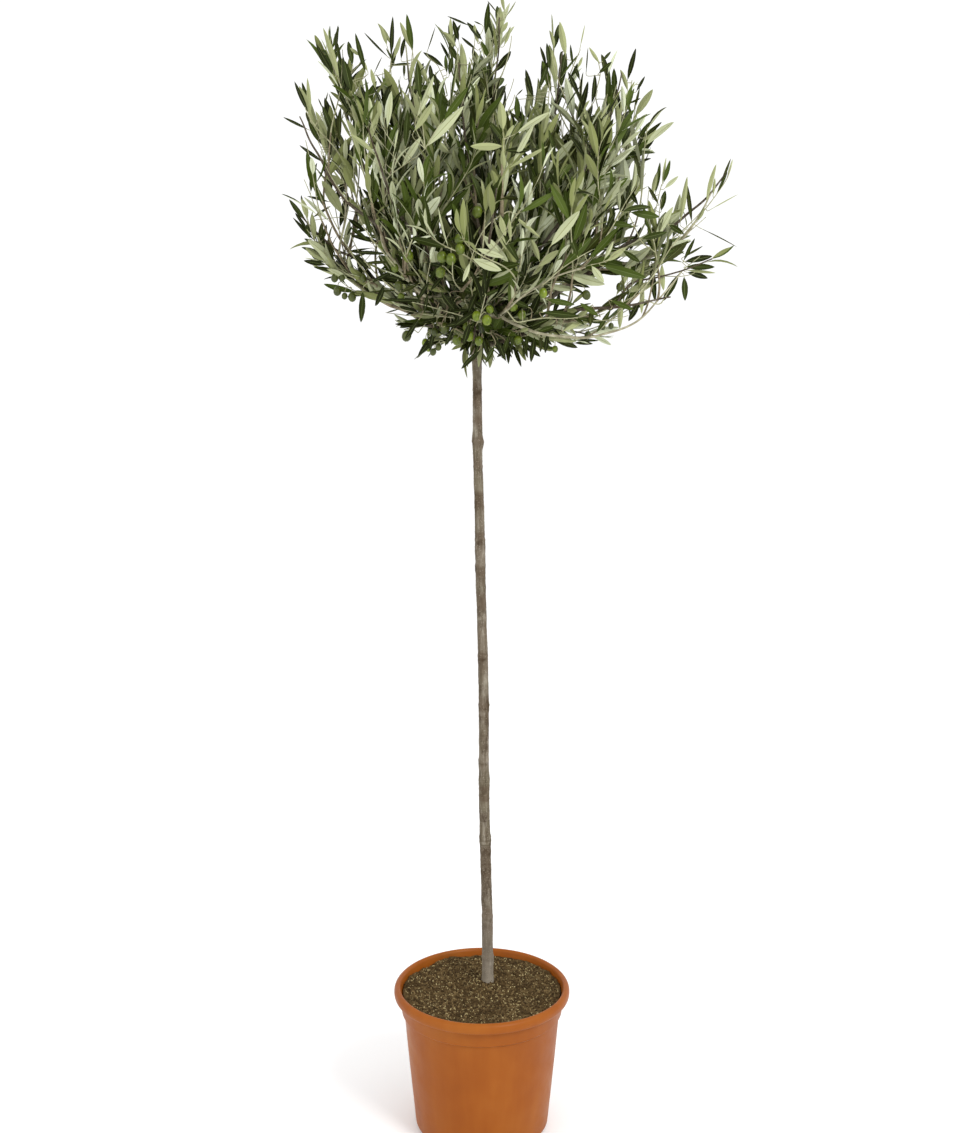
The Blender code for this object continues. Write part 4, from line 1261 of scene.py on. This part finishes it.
def thatch_tips(rng):
    """Short dark shoots over the feet of the limbs, where the crown is thick and shaded; their dark leaves
    are painted shade.
    """
    found = []
    for k in range(THATCH):
        out, reach = turned_out(k, 0.2, rng), 0.018 + 0.105 * ((k + 0.5) / THATCH) ** 0.7
        spot = stem_centre(1.300) + out * reach + UP * (0.35 * reach + rng.uniform(-0.012, 0.034))
        way = out * rng.uniform(0.3, 1.0) + UP * rng.uniform(-0.10, 0.9) + rng.normal(size=3) * 0.2
        found.append((spot, unit(way)))
    return found


print("tall shoots:", len(SPIRES), "short ones:", SKIRT + THATCH)

# %% Growing one shoot
NEAREST, FARTHEST = 0.045, 0.30         # from the root of a shoot to its tip
FIRST_LEAFY = 0.040                     # shoots spring from a main limb past this length of it
OUTER_WISH, INNER_WISH, SPIRE_WISH, SHORT_WISH = 0.165, 0.10, 0.17, 0.055       # wished lengths
wood = []       # places a shoot may spring from: point, way ahead, owner, the owner's point


def add_wood(owner, path, first, last):
    """Let later shoots spring from this stretch of wood."""
    ahead = ways_along(path)
    wood.extend((path[i], ahead[i], owner, i) for i in range(first, last, 2))


def hermite(start, out, end, into, count):
    """A smooth path between two points, with a way out of one and into the other."""
    t = np.linspace(0, 1, count)[:, None]
    return ((2 * t ** 3 - 3 * t ** 2 + 1) * start + (t ** 3 - 2 * t ** 2 + t) * out
            + (3 * t ** 2 - 2 * t ** 3) * end + (t ** 3 - t ** 2) * into)


def grow_shoot(tip, way, wish, rng, used):
    """Join a tip to the best place on the wood; gives the path and what it springs from."""
    place, ahead = (np.array([spot[k] for spot in wood]) for k in (0, 1))
    gap = tip - place
    far = np.maximum(np.linalg.norm(gap, axis=1), 1e-6)
    along = (gap * ahead).sum(1) / far
    toward = gap @ way / far
    cost = np.abs(far - wish) / 0.10 + 1.6 * (1 - toward) + 0.9 * np.abs(along - 0.72)
    cost += 4.0 * np.maximum(place[:, 2] - tip[2], 0) / 0.05 * (way[2] > 0.2) + 0.22 * used[:len(place)]
    cost += 6.0 * (far < NEAREST) + 6.0 * (far > FARTHEST) + 4.0 * (along < 0.05)
    i = int(np.argmin(cost + 0.10 * rng.random(len(place))))
    near = np.abs(np.arange(len(place)) - i) <= 2
    used[:len(place)][near] += 1
    length = far[i]
    out = unit(ahead[i] * 0.75 + gap[i] / length + rng.normal(size=3) * 0.10) * length * 0.95
    count = max(int(length / 0.006), 8)
    path = hermite(place[i], out, tip, way * length * 0.85, count)
    return wobble(path, 0.0016, int(rng.integers(1000))), *wood[i][2:]


TWIG_TIP, TWIG_TAPER = 0.00055, 0.0052         # radius at the tip, and what each metre adds to it


def add_shoot(path, thick=None, parent=None, index=0, **more):
    """Keep a shoot: its parent is ("limb" or "shoot", number), and index the parent's point."""
    if thick is None:
        thick = TWIG_TIP + TWIG_TAPER * np.linalg.norm(path[-1] - path, axis=1)
    shoots.append({"path": path, "thick": thick, "parent": parent, "index": index, **more})


print("a shoot is", NEAREST, "to", FARTHEST, "m long")

# %% All the shoots
shoots = []     # some also have: bare, the leafless share of the path; shaded; limb_end
for number, limb in enumerate(limbs):
    first = int(FIRST_LEAFY / LIMB_STEP) if number < len(BOUGHS) else 4
    add_wood(("limb", number), limb["path"], first, len(limb["path"]) - 2)
rng = np.random.default_rng(17)
used = np.zeros(60000)                          # how often a shoot sprang from near each place
order = sorted(range(len(outer_tips)), key=lambda k: float(np.linalg.norm(outer_tips[k][0] - HUB)))
jobs = [(t, SPIRE_WISH, True) for t in spire_tips()] + [(outer_tips[k], OUTER_WISH, True) for k in order]
jobs += [(t, INNER_WISH, False) for t in inner_tips]
for (tip, way), wish, outer in jobs:
    path, parent, index = grow_shoot(tip, way, wish * rng.uniform(0.8, 1.25), rng, used)
    add_shoot(path, parent=parent, index=index)
    if outer:
        add_wood(("shoot", len(shoots) - 1), path, len(path) // 5, int(len(path) * 0.6))
wood.clear()                                    # the skirt springs from the foot of the limbs only
for number, limb in enumerate(limbs[:len(BOUGHS)]):
    add_wood(("limb", number), limb["path"], 3, 30)
used[:] = 0
for tip, way in skirt_tips(np.random.default_rng(53)) + thatch_tips(np.random.default_rng(59)):
    path, parent, index = grow_shoot(tip, way, SHORT_WISH, rng, used)
    add_shoot(path, parent=parent, index=index, bare=0.18, shaded=True)
LAST = 30                                       # points at the end of a limb that bear leaves
for limb in limbs:                              # every limb ends in a shoot of its own
    add_shoot(limb["path"][-LAST:], limb["radius"][-LAST:] * 0.98, limb_end=True)
parents = {shoot["parent"] for shoot in shoots}
for number, shoot in enumerate(shoots):         # no bare twigs across the gaps
    shoot["lost"] = (("shoot", number) not in parents and "limb_end" not in shoot
                     and in_gaps(shoot["path"][len(shoot["path"]) // 3:], AIR).mean() > 0.45)
for shoot in reversed(shoots):                  # wood below a fork is thicker than above it
    if shoot["parent"] and shoot["parent"][0] == "shoot":
        below = shoots[shoot["parent"][1]]
        i = shoot["index"]
        grown = np.sqrt(below["thick"][i] ** 2 + 0.8 * shoot["thick"][0] ** 2)
        below["thick"][:i + 1] = np.maximum(below["thick"][:i + 1], np.linspace(grown * 1.15, grown, i + 1))
print("shoots:", len(shoots), "of which lost to the gaps:", sum(bool(s["lost"]) for s in shoots))

# %% Stems of the listed sprays
places = np.concatenate([limb["path"][8:] for limb in limbs] + [s["path"] for s in shoots if not s["lost"]])
TOUCHING = 0.0025                               # a leaf this near to wood needs no twig of its own
STOUT_SPRAYS = {"centre_brown": 0.0032, "left_bare": 0.0016, "low_fist": 0.0015}
sprigs = ([], [])       # short twigs that hold the listed leaves: green ones, brown ones
for order, (name, (first, last, stem_line, _)) in enumerate(SPRAYS.items()):
    line = np.array([seen(*place, spray_depth(first, last, stem_line, *place)) for place in stem_line])
    ahead = unit(line[1] - line[0])
    gap = line[0] - places
    far = np.linalg.norm(gap, axis=1)
    root = places[int(np.argmin(far + 0.015 * (1 - gap @ ahead / np.maximum(far, 1e-6))))]
    joint = hermite(root, unit(line[0] - root) * 0.03, line[0], ahead * 0.03, 8)[:-1]
    path = wobble(resample(curve(np.concatenate([joint, line]), 60), LIMB_STEP), 0.0008, 90 + order)
    add_shoot(path, np.linspace(STOUT_SPRAYS.get(name, 0.00100), 0.0006, len(path)), bare=1.0)
    for _, base, end, depth, _, _ in (leaf for leaf in hand_leaves if leaf[0] == name):
        foot, tip = seen(*base, depth), seen(*end, depth)
        near_by = np.concatenate([path, places]) if name in SHADED else path
        far = np.linalg.norm(near_by - foot, axis=1)
        near, push = near_by[int(np.argmin(far))], far.min()
        if push > TOUCHING:
            twig = hermite(near, (foot - near) * 0.6 + UP * 0.2 * push, foot, unit(tip - foot) * push, 7)
            sprigs[name in SHADED].append((twig, np.linspace(0.00065, 0.0005, 7)))
shoots = [shoot for shoot in shoots if not shoot.get("lost")]
length = sum(line_run(s["path"])[-1] for s in shoots)
print("shoots:", len(shoots), "total length", round(float(length), 1), "m")

# %% [markdown]
# ## Twig skins
# A twig is a path with a thickness at each point. The Geometry Nodes tree below makes the paths
# into curves and sweeps a small ring along them, scaled by the stored thickness.
# Last year's wood is brown and this year's is a pale green, so each kind is its own piece.

# %% Twig tree
def twig_tree():
    """Sweep a ring with so many sides along paths."""
    tree, start, end = new_tree("twigs", [("Sides", "Int"), ("Material", "Material")])
    lines = add(tree, "GeometryNodeMeshToCurve", {"Mesh": start.outputs["Geometry"]})
    stored = add(tree, "GeometryNodeInputNamedAttribute", {"Name": "thick"}, data_type="FLOAT")
    ring = add(tree, "GeometryNodeCurvePrimitiveCircle", {"Radius": 1.0,
                                                          "Resolution": start.outputs["Sides"]})
    sweep = add(tree, "GeometryNodeCurveToMesh", {
        "Curve": lines, "Scale": stored, "Profile Curve": ring, "Fill Caps": True})
    ends(tree, add(tree, "GeometryNodeSetShadeSmooth", {"Geometry": sweep}), start, end)
    return tree


def line_object(name, lines):
    """Paths as a mesh of edges, with a thickness on each point."""
    verts = np.concatenate([path for path, _ in lines])
    starts = np.cumsum([0] + [len(path) for path, _ in lines])
    edges = [(i, i + 1) for a, b in zip(starts, starts[1:]) for i in range(a, b - 1)]
    mesh = bpy.data.meshes.new(name)
    mesh.from_pydata(verts.tolist(), edges, [])
    mesh.attributes.new("thick", "FLOAT", "POINT").data.foreach_set(
        "value", np.concatenate([thick for _, thick in lines]).astype(np.float32))
    obj = bpy.data.objects.new(name, mesh)
    bpy.context.collection.objects.link(obj)
    return obj


GREEN_BELOW = 0.00125           # wood thinner than this radius is green
green_lines, brown_lines = (list(lines) for lines in sprigs)
for shoot in shoots:
    if "limb_end" in shoot:                     # a limb has its skin already
        continue
    path, thick = shoot["path"], shoot["thick"]
    cut = int(np.argmax(thick < GREEN_BELOW)) if thick.min() < GREEN_BELOW else len(path)
    if cut >= 2:
        brown_lines.append((path[:cut + 1], thick[:cut + 1]))
    if len(path) - cut >= 2:
        green_lines.append((path[cut:], thick[cut:]))
twigs = twig_tree()
brown_twig = twig_finish("brown_twig", tone(88, 79, 59), tone(142, 130, 104), 0.8)
green_shoot = twig_finish("green_shoot", tone(128, 126, 92), tone(168, 168, 134), 0.6)
for name, lines, sides, mat in (("twigs_brown", brown_lines, 7, brown_twig),
                                ("shoots_green", green_lines, 6, green_shoot)):
    piece = line_object(name, lines)
    run_tree(piece, twigs, {"Sides": sides, "Material": mat})
    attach(piece, "root")

# %% [markdown]
# ## Leaf finishes
# An olive leaf has two faces: dark, smooth and a little waxy above, pale silver-green felt below.
# Each finish is a plain colour with its own sheen. Patches of the crown differ in tone: a slow noise
# says how light it is at a shoot's tip, the shoot draws an upper and a lower tone to suit, and
# most of its leaves wear them. The shaded shoots draw the darkest tones, and all their leaves wear
# them: painted shade. The darkest tones, 0 above and 3 below, are the leaf's own colour darkened by
# painted shade.

# %% Leaf finishes
UPPER_TONES = [tone(29, 34, 5), tone(42, 51, 10), tone(59, 72, 21), tone(73, 87, 33), tone(49, 53, 17)]
LOWER_TONES = [tone(146, 151, 108), tone(168, 173, 137), tone(193, 199, 168), tone(122, 128, 78)]
UPPERS, LOWERS = len(UPPER_TONES), len(LOWER_TONES)
leaf_mats = [Finish(f"leaf_upper_{k}", colour, 0.5, 0.09).mat for k, colour in enumerate(UPPER_TONES)]
for k, colour in enumerate(LOWER_TONES):
    felt = Finish(f"leaf_felt_{k}", colour, 0.88, 0.1)
    felt.give("Sheen Weight", 0.10)
    felt.give("Sheen Roughness", 0.5)
    leaf_mats.append(felt.mat)
leaf_mats.append(Finish("leaf_rib", tone(84, 96, 48), 0.5, 0.2).mat)
leaf_mats.append(Finish("leaf_rib_below", tone(132, 136, 92), 0.7, 0.2).mat)
leaf_mats.append(Finish("leaf_stalk", tone(150, 150, 106), 0.6, 0.3).mat)
RIB, RIB_BELOW, STALK = range(len(leaf_mats) - 3, len(leaf_mats))
print("leaf finishes:", len(leaf_mats))

# %% [markdown]
# ## The leaf
# A leaf here is a thin closed blade with nine stations along it: a stalk, a blade that tapers to a
# point, a pale rib above and a raised one below. Both sides are cut into triangles the same way, so
# that they can't poke through each other. It folds along its rib and curls along its length.
# All leaves are made at once with arrays, because a loop over thousands of them is slow.

# %% Faces of a leaf
STATIONS = np.array((0.0, 0.085, 0.17, 0.31, 0.48, 0.66, 0.83, 0.93, 1.0))
WIDTHS = np.array((0.09, 0.10, 0.43, 0.81, 1.00, 0.93, 0.63, 0.34, 0.0))
S, PER = len(STATIONS), 6       # points at a station: border, rib, rib, border, two under the rib


def leaf_topology():
    """Faces of one leaf and what each is: 0 upper, 1 lower, 2 rib, 3 stalk, 4 rib below."""
    faces, kinds = [], []
    for i in range(S - 2):
        a, b = i * PER, (i + 1) * PER
        cut = ((a, a + 1, b + 1), (a, b + 1, b), (a + 2, a + 3, b + 2), (a + 3, b + 3, b + 2),
               (a + 5, a, b + 5), (a, b, b + 5), (a + 3, a + 4, b + 4), (a + 3, b + 4, b + 3),
               (a + 1, a + 2, b + 2, b + 1), (a + 4, a + 5, b + 5, b + 4))
        faces += cut
        kinds += [3] * 10 if i == 0 else [0, 0, 0, 0, 1, 1, 1, 1, 2, 4]
    a, tip = (S - 2) * PER, (S - 1) * PER
    for k, kind in ((0, 0), (1, 2), (2, 0)):
        faces.append((a + k, a + k + 1, tip))
        kinds.append(kind)
    faces += [(a + 5, a, tip), (a + 3, a + 4, tip), (a + 4, a + 5, tip), (0, 5, 4, 3, 2, 1)]
    kinds += [1, 1, 4, 3]
    return faces, np.array(kinds)


LEAF_FACES, LEAF_KINDS = leaf_topology()
LEAF_POINTS = (S - 1) * PER + 1
LEAF_TRIANGLES = sum(len(face) - 2 for face in LEAF_FACES)
LEAF_LINES = np.zeros(LEAF_POINTS, np.int8)      # a bit for each line of points that is a crisp edge
for k in range(PER):
    LEAF_LINES[k:-1:PER] = 2 ** k
LEAF_LINES[-1] = 2 ** PER - 1
print("points of a leaf:", LEAF_POINTS, "triangles:", LEAF_TRIANGLES)

# %% Leaf shape
def leaf_points(base, along, face, length, width, fold, curl, twist, wave):
    """Points of many leaves: base, direction, way the upper face looks, and their shapes."""
    across = np.cross(along, face)
    s = STATIONS[None, :]
    angle = curl[:, None] * s ** 1.4
    step = np.diff(STATIONS, prepend=0.0)[None, :] * length[:, None]
    forward, down = np.cumsum(step * np.cos(angle), 1), np.cumsum(step * np.sin(angle), 1)
    spine = base[:, None] + along[:, None] * forward[..., None] - face[:, None] * down[..., None]
    turn = twist[:, None] * s
    normal = face[:, None] * np.cos(angle)[..., None] + along[:, None] * np.sin(angle)[..., None]
    side = across[:, None] * np.cos(turn)[..., None] + normal * np.sin(turn)[..., None]
    normal = normal * np.cos(turn)[..., None] - across[:, None] * np.sin(turn)[..., None]
    half = np.maximum(0.5 * width[:, None] * WIDTHS[None, :], 0.0005 * (s < 0.1))
    blade = np.minimum(s / 0.2, 1.0)
    rise = np.sin(fold)[:, None] * blade
    ripple = wave[:, None] * width[:, None] * np.sin(9.0 * s + 40.0 * wave[:, None]) * blade * (1 - s)
    points = np.zeros((len(base), S, PER, 3))
    for k, x in ((0, -1.0), (1, -0.06), (2, 0.06), (3, 1.0)):
        lift = half * abs(x) * rise + (ripple * x if abs(x) == 1 else 0.0)
        points[:, :, k] = (spine + side * (half * x * np.cos(fold)[:, None])[..., None]
                           + normal * lift[..., None])
    thick = np.maximum(0.07 * half, 0.00045 * (1 - 0.6 * s))
    for k, x in ((4, 0.07), (5, -0.07)):
        points[:, :, k] = spine + side * (half * x)[..., None] - normal * thick[..., None]
    flat = points.reshape(len(base), S * PER, 3)[:, :LEAF_POINTS]
    flat[:, -1] = spine[:, -1]
    return flat


FIELDS = ("base", "along", "face", "length", "width", "fold", "curl", "twist", "wave", "upper", "lower")


def make_leaves(name, leaves):
    """All leaves of a piece, from a table with one row for each leaf."""
    pts = leaf_points(*(leaves[field] for field in FIELDS[:9]))
    count = len(pts)
    faces = [tuple(i + n * LEAF_POINTS for i in face) for n in range(count) for face in LEAF_FACES]
    kinds = np.tile(LEAF_KINDS, (count, 1))
    tags = np.select([kinds == 0, kinds == 1, kinds == 2, kinds == 4],
                     [leaves["upper"][:, None], leaves["lower"][:, None], RIB, RIB_BELOW], STALK)
    obj = build(name, pts.reshape(-1, 3), faces, leaf_mats, tags.ravel())
    pairs = np.zeros(len(obj.data.edges) * 2, np.int32)
    obj.data.edges.foreach_get("vertices", pairs)
    line = np.tile(LEAF_LINES, count)[pairs].reshape(-1, 2)
    sharp = (line[:, 0] & line[:, 1]) > 0
    obj.data.attributes.new("sharp_edge", "BOOLEAN", "EDGE").data.foreach_set("value", sharp)
    print(name, "leaves:", count, "triangles:", count * LEAF_TRIANGLES)
    return obj


flat = leaf_points(*(np.array([v]) for v in ((0, 0, 0), (1, 0, 0), (0, 0, 1), 0.06, 0.012, 0, 0, 0, 0)))
print("a flat leaf's size:", np.ptp(flat[0], axis=0).round(4))

# %% Leaves of one shoot
PATCH = 13.0                    # patches of darker and lighter sprays, about this many to the metre
OWN_TONE = 0.85                 # share of the leaves that wear their shoot's tones
LEAF_LENGTH, LENGTH_SPREAD = 0.0600, 0.0095
LEAN, LEAN_SPREAD = 27, 10      # degrees between a leaf and its shoot
YOUNG_REACH = 0.022             # leaves about this near to the tip are small and stand close
DARK_UPPER = np.array((0.50, 0.28, 0.04, 0.0, 0.18))        # chance of each tone in a dark patch
LIGHT_UPPER = np.array((0.06, 0.24, 0.38, 0.20, 0.12))      # and in a light one
DARK_LOWER, LIGHT_LOWER = np.array((0.42, 0.08, 0.0, 0.50)), np.array((0.26, 0.42, 0.28, 0.04))


def leaf_pairs(shoot, rng):
    """Pairs of leaves down a shoot from its tip, each pair a quarter turn from the last."""
    path, thick = shoot["path"], shoot["thick"]
    run = line_run(path)
    total = run[-1]
    ahead, u, v = frames_along(path)
    bare = shoot.get("bare", rng.uniform(0.10, 0.28)) * total
    shaded = "shaded" in shoot
    # shaded shoots take the dark-patch tones as painted shade; elsewhere a slow noise sets how pale a patch
    # is
    light = 0.0 if shaded else min(max(0.5 + 1.1 * noise.noise(Vector(path[-1]) * PATCH), 0.0), 1.0)
    upper = rng.choice(UPPERS, p=DARK_UPPER + (LIGHT_UPPER - DARK_UPPER) * light)
    lower = UPPERS + rng.choice(LOWERS, p=DARK_LOWER + (LIGHT_LOWER - DARK_LOWER) * light)
    size = rng.uniform(0.86, 1.12)
    turn, at, rows = rng.uniform(0, 2 * math.pi), total - 0.002, []
    steps = 0
    while at > bare:
        here = [np.array([np.interp(at, run, line[:, k]) for k in range(3)]) for line in (path, ahead, u, v)]
        stem = np.interp(at, run, thick)
        young = math.exp(-(total - at) / YOUNG_REACH)
        for half in (0, 1):
            if rng.random() < 0.10 and steps > 0:
                continue
            a = turn + half * math.pi + rng.normal() * 0.18
            out = here[2] * math.cos(a) + here[3] * math.sin(a)
            lean = math.radians(rng.normal(LEAN, LEAN_SPREAD) * (1 - 0.45 * young))
            along = unit(here[1] * math.cos(lean) + out * math.sin(lean) + UP * rng.normal(0.08, 0.09))
            face = here[1] * math.sin(lean) - out * math.cos(lean)
            face = unit(face + UP * 0.45 * (1 - abs(here[1][2])))
            roll = rng.normal() * 0.75
            face = unit(face - along * face.dot(along))
            face = face * math.cos(roll) + np.cross(along, face) * math.sin(roll)
            length = rng.normal(LEAF_LENGTH, LENGTH_SPREAD) * size * (1 - 0.34 * young)
            rows.append((here[0] + out * stem * 0.6, along, face, length,
                         length * rng.uniform(0.160, 0.225), math.radians(rng.uniform(8, 30)),
                         math.radians(rng.normal(12, 17)), rng.normal() * 0.26, rng.normal() * 0.03,
                         upper if shaded or rng.random() < OWN_TONE else rng.integers(UPPERS),
                         lower if shaded or rng.random() < OWN_TONE else UPPERS + rng.integers(LOWERS)))
        turn += math.pi / 2 + rng.normal() * 0.15
        at -= rng.uniform(0.0150, 0.0225) * (0.55 + 0.45 * (1 - young))
        steps += 1
    return rows


print("a leaf is about", LEAF_LENGTH, "m long and leans out", LEAN, "degrees")

# %% All the leaves
rng = np.random.default_rng(29)
rows = []
for shoot in shoots:
    rows += leaf_pairs(shoot, rng)
middles = np.array([row[0] + row[1] * row[3] * share for row in rows for share in (0.25, 0.55, 0.85)])
cleared = in_gaps(middles, [*AIR, *IN_VIEW]).reshape(-1, 3).any(1)
rows = [row for row, gap in zip(rows, cleared) if not gap]
print("leaves taken out of the gaps:", int(cleared.sum()))
rng = np.random.default_rng(31)
LEAF_UNIT = 0.00117         # metres of leaf width for one unit in the frame
ZONE_EDGE = 0.085           # leaves farther from the middle than this are the left and right pieces
for _, base, end, depth, width, shade in hand_leaves:
    base, end = seen(*base, depth), seen(*end, depth + rng.normal() * 7)
    length, along = np.linalg.norm(end - base), unit(end - base)
    dark = shade < UPPERS       # the dark upper face looks at the camera
    face = np.array((rng.normal() * 0.25, -1.0, rng.normal() * 0.2 + 0.1)) * (1 if dark else -1)
    face = unit(face - along * face.dot(along))
    upper, lower = (shade, UPPERS + rng.integers(LOWERS)) if dark else (rng.integers(UPPERS), shade)
    rows.append((base, along, face, length, width * LEAF_UNIT, math.radians(rng.uniform(8, 24)),
                 math.radians(rng.normal(6, 14)), rng.normal() * 0.20, rng.normal() * 0.02, upper, lower))
table = {field: np.array([row[k] for row in rows]) for k, field in enumerate(FIELDS)}
middle = table["base"] + table["along"] * (table["length"] * 0.5)[:, None]
zones = {"leaves_left": middle[:, 0] < -ZONE_EDGE, "leaves_right": middle[:, 0] > ZONE_EDGE}
zones["leaves_middle"] = ~zones["leaves_left"] & ~zones["leaves_right"]
stand_for = {"leaves_left": [n for n in MASSES if "left" in n and n != "under_left"],
             "leaves_right": [n for n in MASSES if "right" in n and n != "under_right"]}
stand_for["leaves_middle"] = [n for n in MASSES if n not in sum(stand_for.values(), [])]
for name in ("leaves_left", "leaves_middle", "leaves_right"):
    piece = make_leaves(name, {field: values[zones[name]] for field, values in table.items()})
    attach(piece, "root")
    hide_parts(*["foliage_" + n for n in stand_for[name]])
print("leaves in all:", len(rows))

# %% [markdown]
# ## Olives
# Green olives hang in ones, twos and threes under the leafy wood on thin bent stalks. Each fruit is
# an egg of a few dozen faces with a blunt point. The stalk runs from the nearest twig above.

# %% Fruit places
rng = np.random.default_rng(71)
twig_points = np.concatenate([shoot["path"][2::2] for shoot in shoots]
                             + [limb["path"][6::3] for limb in limbs])
FRUIT_UNIT = 0.0014             # metres of fruit for one unit in the frame
bunches = [(seen(across, down - 0.55 * width, depth), 1, width * FRUIT_UNIT, skin)
           for across, down, width, depth, skin in FRUIT]
MORE_BUNCHES, BUNCH_APART = 24, 0.045
FRUIT_TOP, FRUIT_FRONT = 1.50, 0.03     # the other bunches hang lower than this, and behind this
while len(bunches) < len(FRUIT) + MORE_BUNCHES:
    spot = twig_points[rng.integers(len(twig_points))] - UP * rng.uniform(0.018, 0.034)
    far = min(np.linalg.norm(spot - bunch[0]) for bunch in bunches)
    if spot[2] < FRUIT_TOP and far > BUNCH_APART and spot[1] > FRUIT_FRONT:
        bunches.append((spot, int(rng.integers(1, 4)), rng.uniform(0.011, 0.0145), int(rng.integers(3))))
print("bunches of olives:", len(bunches), "olives:", sum(bunch[1] for bunch in bunches))

# %% Egg and skin of an olive
EGG_ROWS, EGG_SIDES = 6, 8


def egg_shape():
    """Points and faces of a fruit 1 wide, hanging from the origin along -Z."""
    t = np.linspace(0, math.pi, EGG_ROWS + 1)[1:-1]
    radius = 0.5 * np.sin(t) ** 0.92 * (1 - 0.06 * np.cos(t))
    z = -0.58 + 0.58 * np.cos(t) * np.where(np.cos(t) < 0, 1.05, 1.0)
    a, radius, z = around(EGG_SIDES), radius[::-1, None], z[::-1, None]
    rings = np.stack([radius * np.cos(a), radius * np.sin(a), np.repeat(z, EGG_SIDES, 1)], -1)
    return closed(rings, (0, 0, -1.215), (0, 0, -0.015))


def olive_skin(name, dark, light):
    """Green skin with pale specks."""
    finish = Finish(name, light, 0.30, 0.38)
    clouds = finish.ramp(finish.grain(120.0, 3.0), (0.35, dark), (0.65, light))
    specks = finish.ramp(finish.grain(900.0, 2.0), (0.62, grey(0)), (0.74, grey(0.35)))
    finish.give("Base Color", finish.over(clouds, tone(128, 142, 66), specks))
    return finish.mat


egg_verts, egg_faces = egg_shape()
print("faces of an olive:", len(egg_faces))

# %% Fruit shapes
eggs, stalks, egg_tags = [], [], []
for spot, count, size, tint in bunches:
    gap = twig_points - spot
    cost = np.linalg.norm(gap * (1.4, 0.8, 1.0), axis=1) + 0.5 * np.maximum(0.016 - gap[:, 2], 0)
    root = twig_points[int(np.argmin(cost))]
    for k in range(count):
        hang = spot
        if count > 1:
            a = 2 * math.pi * k / count + rng.uniform(0, 1)
            aside = np.array((math.cos(a), math.sin(a), 0.0)) * 0.0085
            hang = hang + aside + UP * rng.uniform(-0.010, 0.010)
        out = hang - root
        stalk = hermite(root, (out * (1, 1, 0) + UP * 0.012), hang + UP * 0.009, -UP * 0.022, 8)
        stalks.append(tube(stalk, np.linspace(0.0007, 0.0006, 8), 5))
        tilt = Vector(stalk[-1] - stalk[-2]).to_track_quat("-Z", "Y").to_matrix()
        eggs.append((egg_verts * size @ np.array(tilt).T + stalk[-1], egg_faces))
        egg_tags += [tint] * len(egg_faces)
olive_skins = [olive_skin("olive_green", tone(68, 82, 12), tone(94, 108, 24)),
               olive_skin("olive_lime", tone(86, 104, 14), tone(118, 134, 30)),
               olive_skin("olive_deep", tone(50, 58, 15), tone(74, 82, 27))]
for piece in (build("olives", *joined(eggs), olive_skins, egg_tags),
              build("olive_stalks", *joined(stalks), [green_shoot])):
    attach(piece, "root")
    print(piece.name, "faces:", len(piece.data.polygons))

# %% [markdown]
# ## Floor and light
# A wide pale floor, a white surround and two soft lamps, the stronger one from the front right.

# %% Floor and light
FLOOR_HALF = 30             # metres
floor_white = Finish("floor_white", grey(0.96), 0.8, 0.2).mat
corners = [(x * FLOOR_HALF, y * FLOOR_HALF, 0) for x, y in ((-1, -1), (1, -1), (1, 1), (-1, 1))]
floor = build("floor", corners, [(0, 1, 2, 3)], [floor_white], smooth=False)
world = bpy.data.worlds.new("studio")
world.use_nodes = True
surround = world.node_tree.nodes["Background"].inputs
surround["Color"].default_value = grey(1.0)
surround["Strength"].default_value = 1.07
bpy.context.scene.world = world


def lamp(name, place, target, size, power):
    light = bpy.data.lights.new(name, "AREA")
    light.shape, light.size, light.energy = "DISK", size, power
    obj = bpy.data.objects.new(name, light)
    obj.location = place
    obj.rotation_euler = (Vector(target) - Vector(place)).to_track_quat("-Z", "Y").to_euler()
    bpy.context.collection.objects.link(obj)


lamp("key", (1.9, -2.4, 3.0), (0, 0, 1.2), 1.4, 80.0)
lamp("fill", (-2.2, -1.8, 1.4), (0, 0, 1.0), 2.0, 12.0)
print("lamps:", len(bpy.data.lights))

# %% [markdown]
